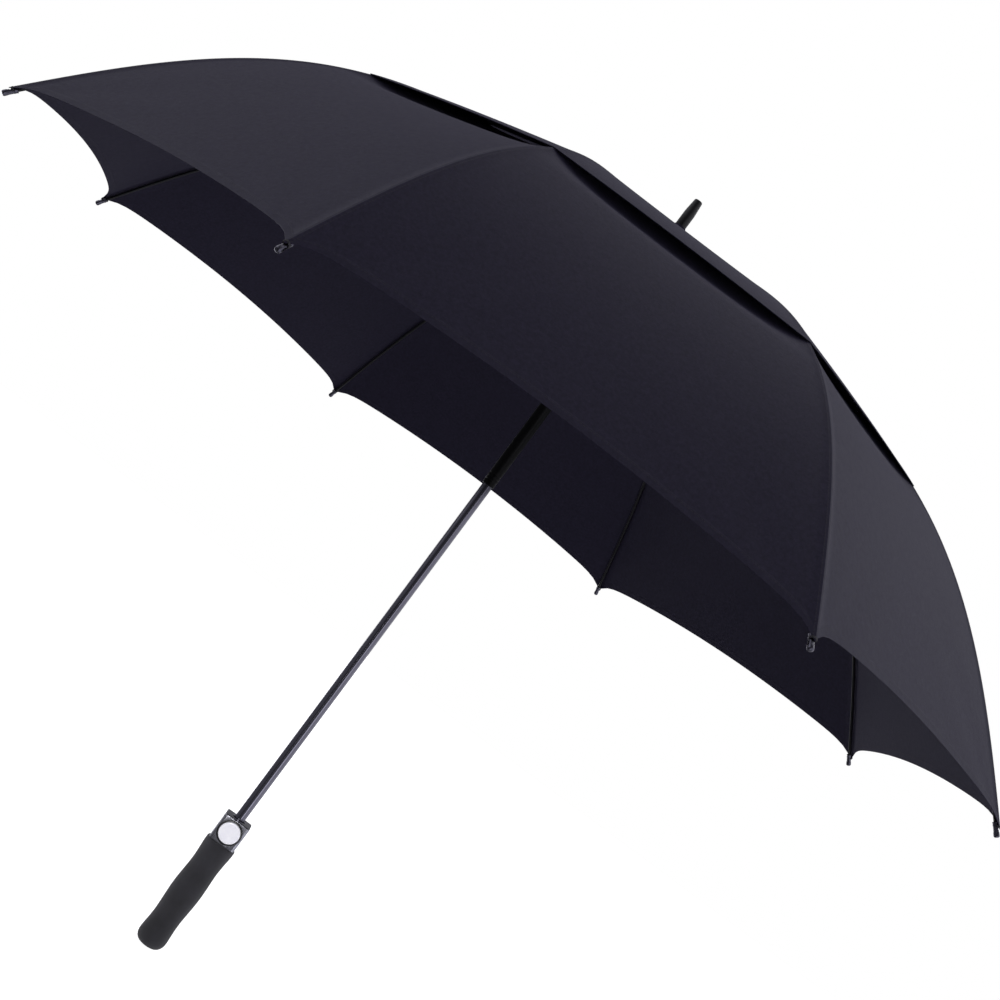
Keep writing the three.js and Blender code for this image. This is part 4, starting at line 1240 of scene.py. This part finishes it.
def world_light():
    """White for the camera; for the object, bright at both sides, dim in front and behind. Reflections
    alone see it dimmer low on the left, and see two narrow upright strips, in front on the right and
    behind on the left."""
    world = bpy.data.worlds.new("studio")
    bpy.context.scene.world = world
    m = Nodes(world)
    path = m.add("ShaderNodeLightPath").outputs
    direction = m.add("ShaderNodeTexCoord").outputs["Generated"]
    x, y, z = m.add("ShaderNodeSeparateXYZ", {0: direction}).outputs
    left = m.ramp(x, 0.75, 0.0, -0.5, -0.1, "SMOOTHSTEP")
    low_left = m.math("MULTIPLY", left, m.ramp(z, 1.0, 0.0, 0.1, 0.35, "SMOOTHSTEP"))
    left_loss = m.math("MULTIPLY", low_left, path["Is Glossy Ray"])
    sides = m.ramp(m.math("ABSOLUTE", x), 0.23, 1.5, 0.3, 0.85, "SMOOTHSTEP")
    sides = m.math("MULTIPLY", sides, m.math("SUBTRACT", 1.0, left_loss))
    off_strip = m.math("ABSOLUTE", m.math("ADD", m.math("DIVIDE", x, y), 0.625))
    strip = m.ramp(off_strip, 1.0, 0.0, 0.08, 0.24, "SMOOTHSTEP")
    strip = m.math("MULTIPLY", strip, m.ramp(z, 4.0, 0.4, -0.2, 0.15, "SMOOTHSTEP"))
    strip = m.math("MULTIPLY", strip, path["Is Glossy Ray"])
    lit = m.add("ShaderNodeBackground", {0: (0.93, 0.93, 1.0, 1), 1: m.math("ADD", sides, strip)})
    white = m.add("ShaderNodeBackground", {0: (1, 1, 1, 1)})
    shares = {0: path["Is Camera Ray"], 1: lit.outputs[0], 2: white.outputs[0]}
    mixed = m.add("ShaderNodeMixShader", shares).outputs[0]
    m.feed(m.tree.nodes["World Output"].inputs[0], mixed)


def floor():
    """A pale sheet of paper: it looks almost white, and throws little light back up."""
    half = 6000
    points = [(x * half, y * half, -0.5) for x, y in ((-1, -1), (1, -1), (1, 1), (-1, 1))]
    m = new_material("pale_floor")
    seen = m.add("ShaderNodeLightPath").outputs["Is Camera Ray"]
    m.set(Base_Color=(0.8, 0.8, 0.8, 1), Roughness=0.9, Specular_IOR_Level=0.0)
    m.set(Emission_Color=(1, 1, 1, 1), Emission_Strength=m.ramp(seen, 0.08, 0.85))
    piece = make_mesh("floor", points, [(0, 1, 2, 3)], m.owner)
    piece.visible_glossy = False


def camera():
    """The photo's view: in front, a little below the canopy, rolled so that the shaft leans to the right."""
    aim = Vector((20.7, 0, 613.4)) * MM
    distance = 1753.5 * MM
    azimuth, elevation, roll = math.radians(2.6), math.radians(-3.64), math.radians(36.6)
    forward = Vector((math.sin(azimuth) * math.cos(elevation), math.cos(azimuth) * math.cos(elevation),
                      -math.sin(elevation)))
    data = bpy.data.cameras.new("camera")
    data.lens = 57.1
    data.sensor_width = 36
    eye = bpy.data.objects.new("camera", data)
    eye.location = aim - forward * distance
    upright = forward.to_track_quat("-Z", "Y")
    eye.rotation_mode = "QUATERNION"
    eye.rotation_quaternion = upright @ Matrix.Rotation(roll, 3, "Z").to_quaternion()
    bpy.context.scene.collection.objects.link(eye)
    bpy.context.scene.camera = eye


world_light()
floor()
camera()
area_light("left_box", (-2.9, -0.5, 1.6), 0.8, (1.4, 2.2), 5)
area_light("top_box", (0.2, 0.4, 3.2), 0.9, (2.0, 2.0), 16)
area_light("back_right_box", (1.9, 1.1, 2.6), 0.9, (1.2, 1.2), 5.5)
area_light("back_left_box", (-1.9, 1.1, 2.4), 0.9, (1.2, 1.2), 0.8)
handle_spot(56)
bpy.context.scene.view_settings.view_transform = "Standard"
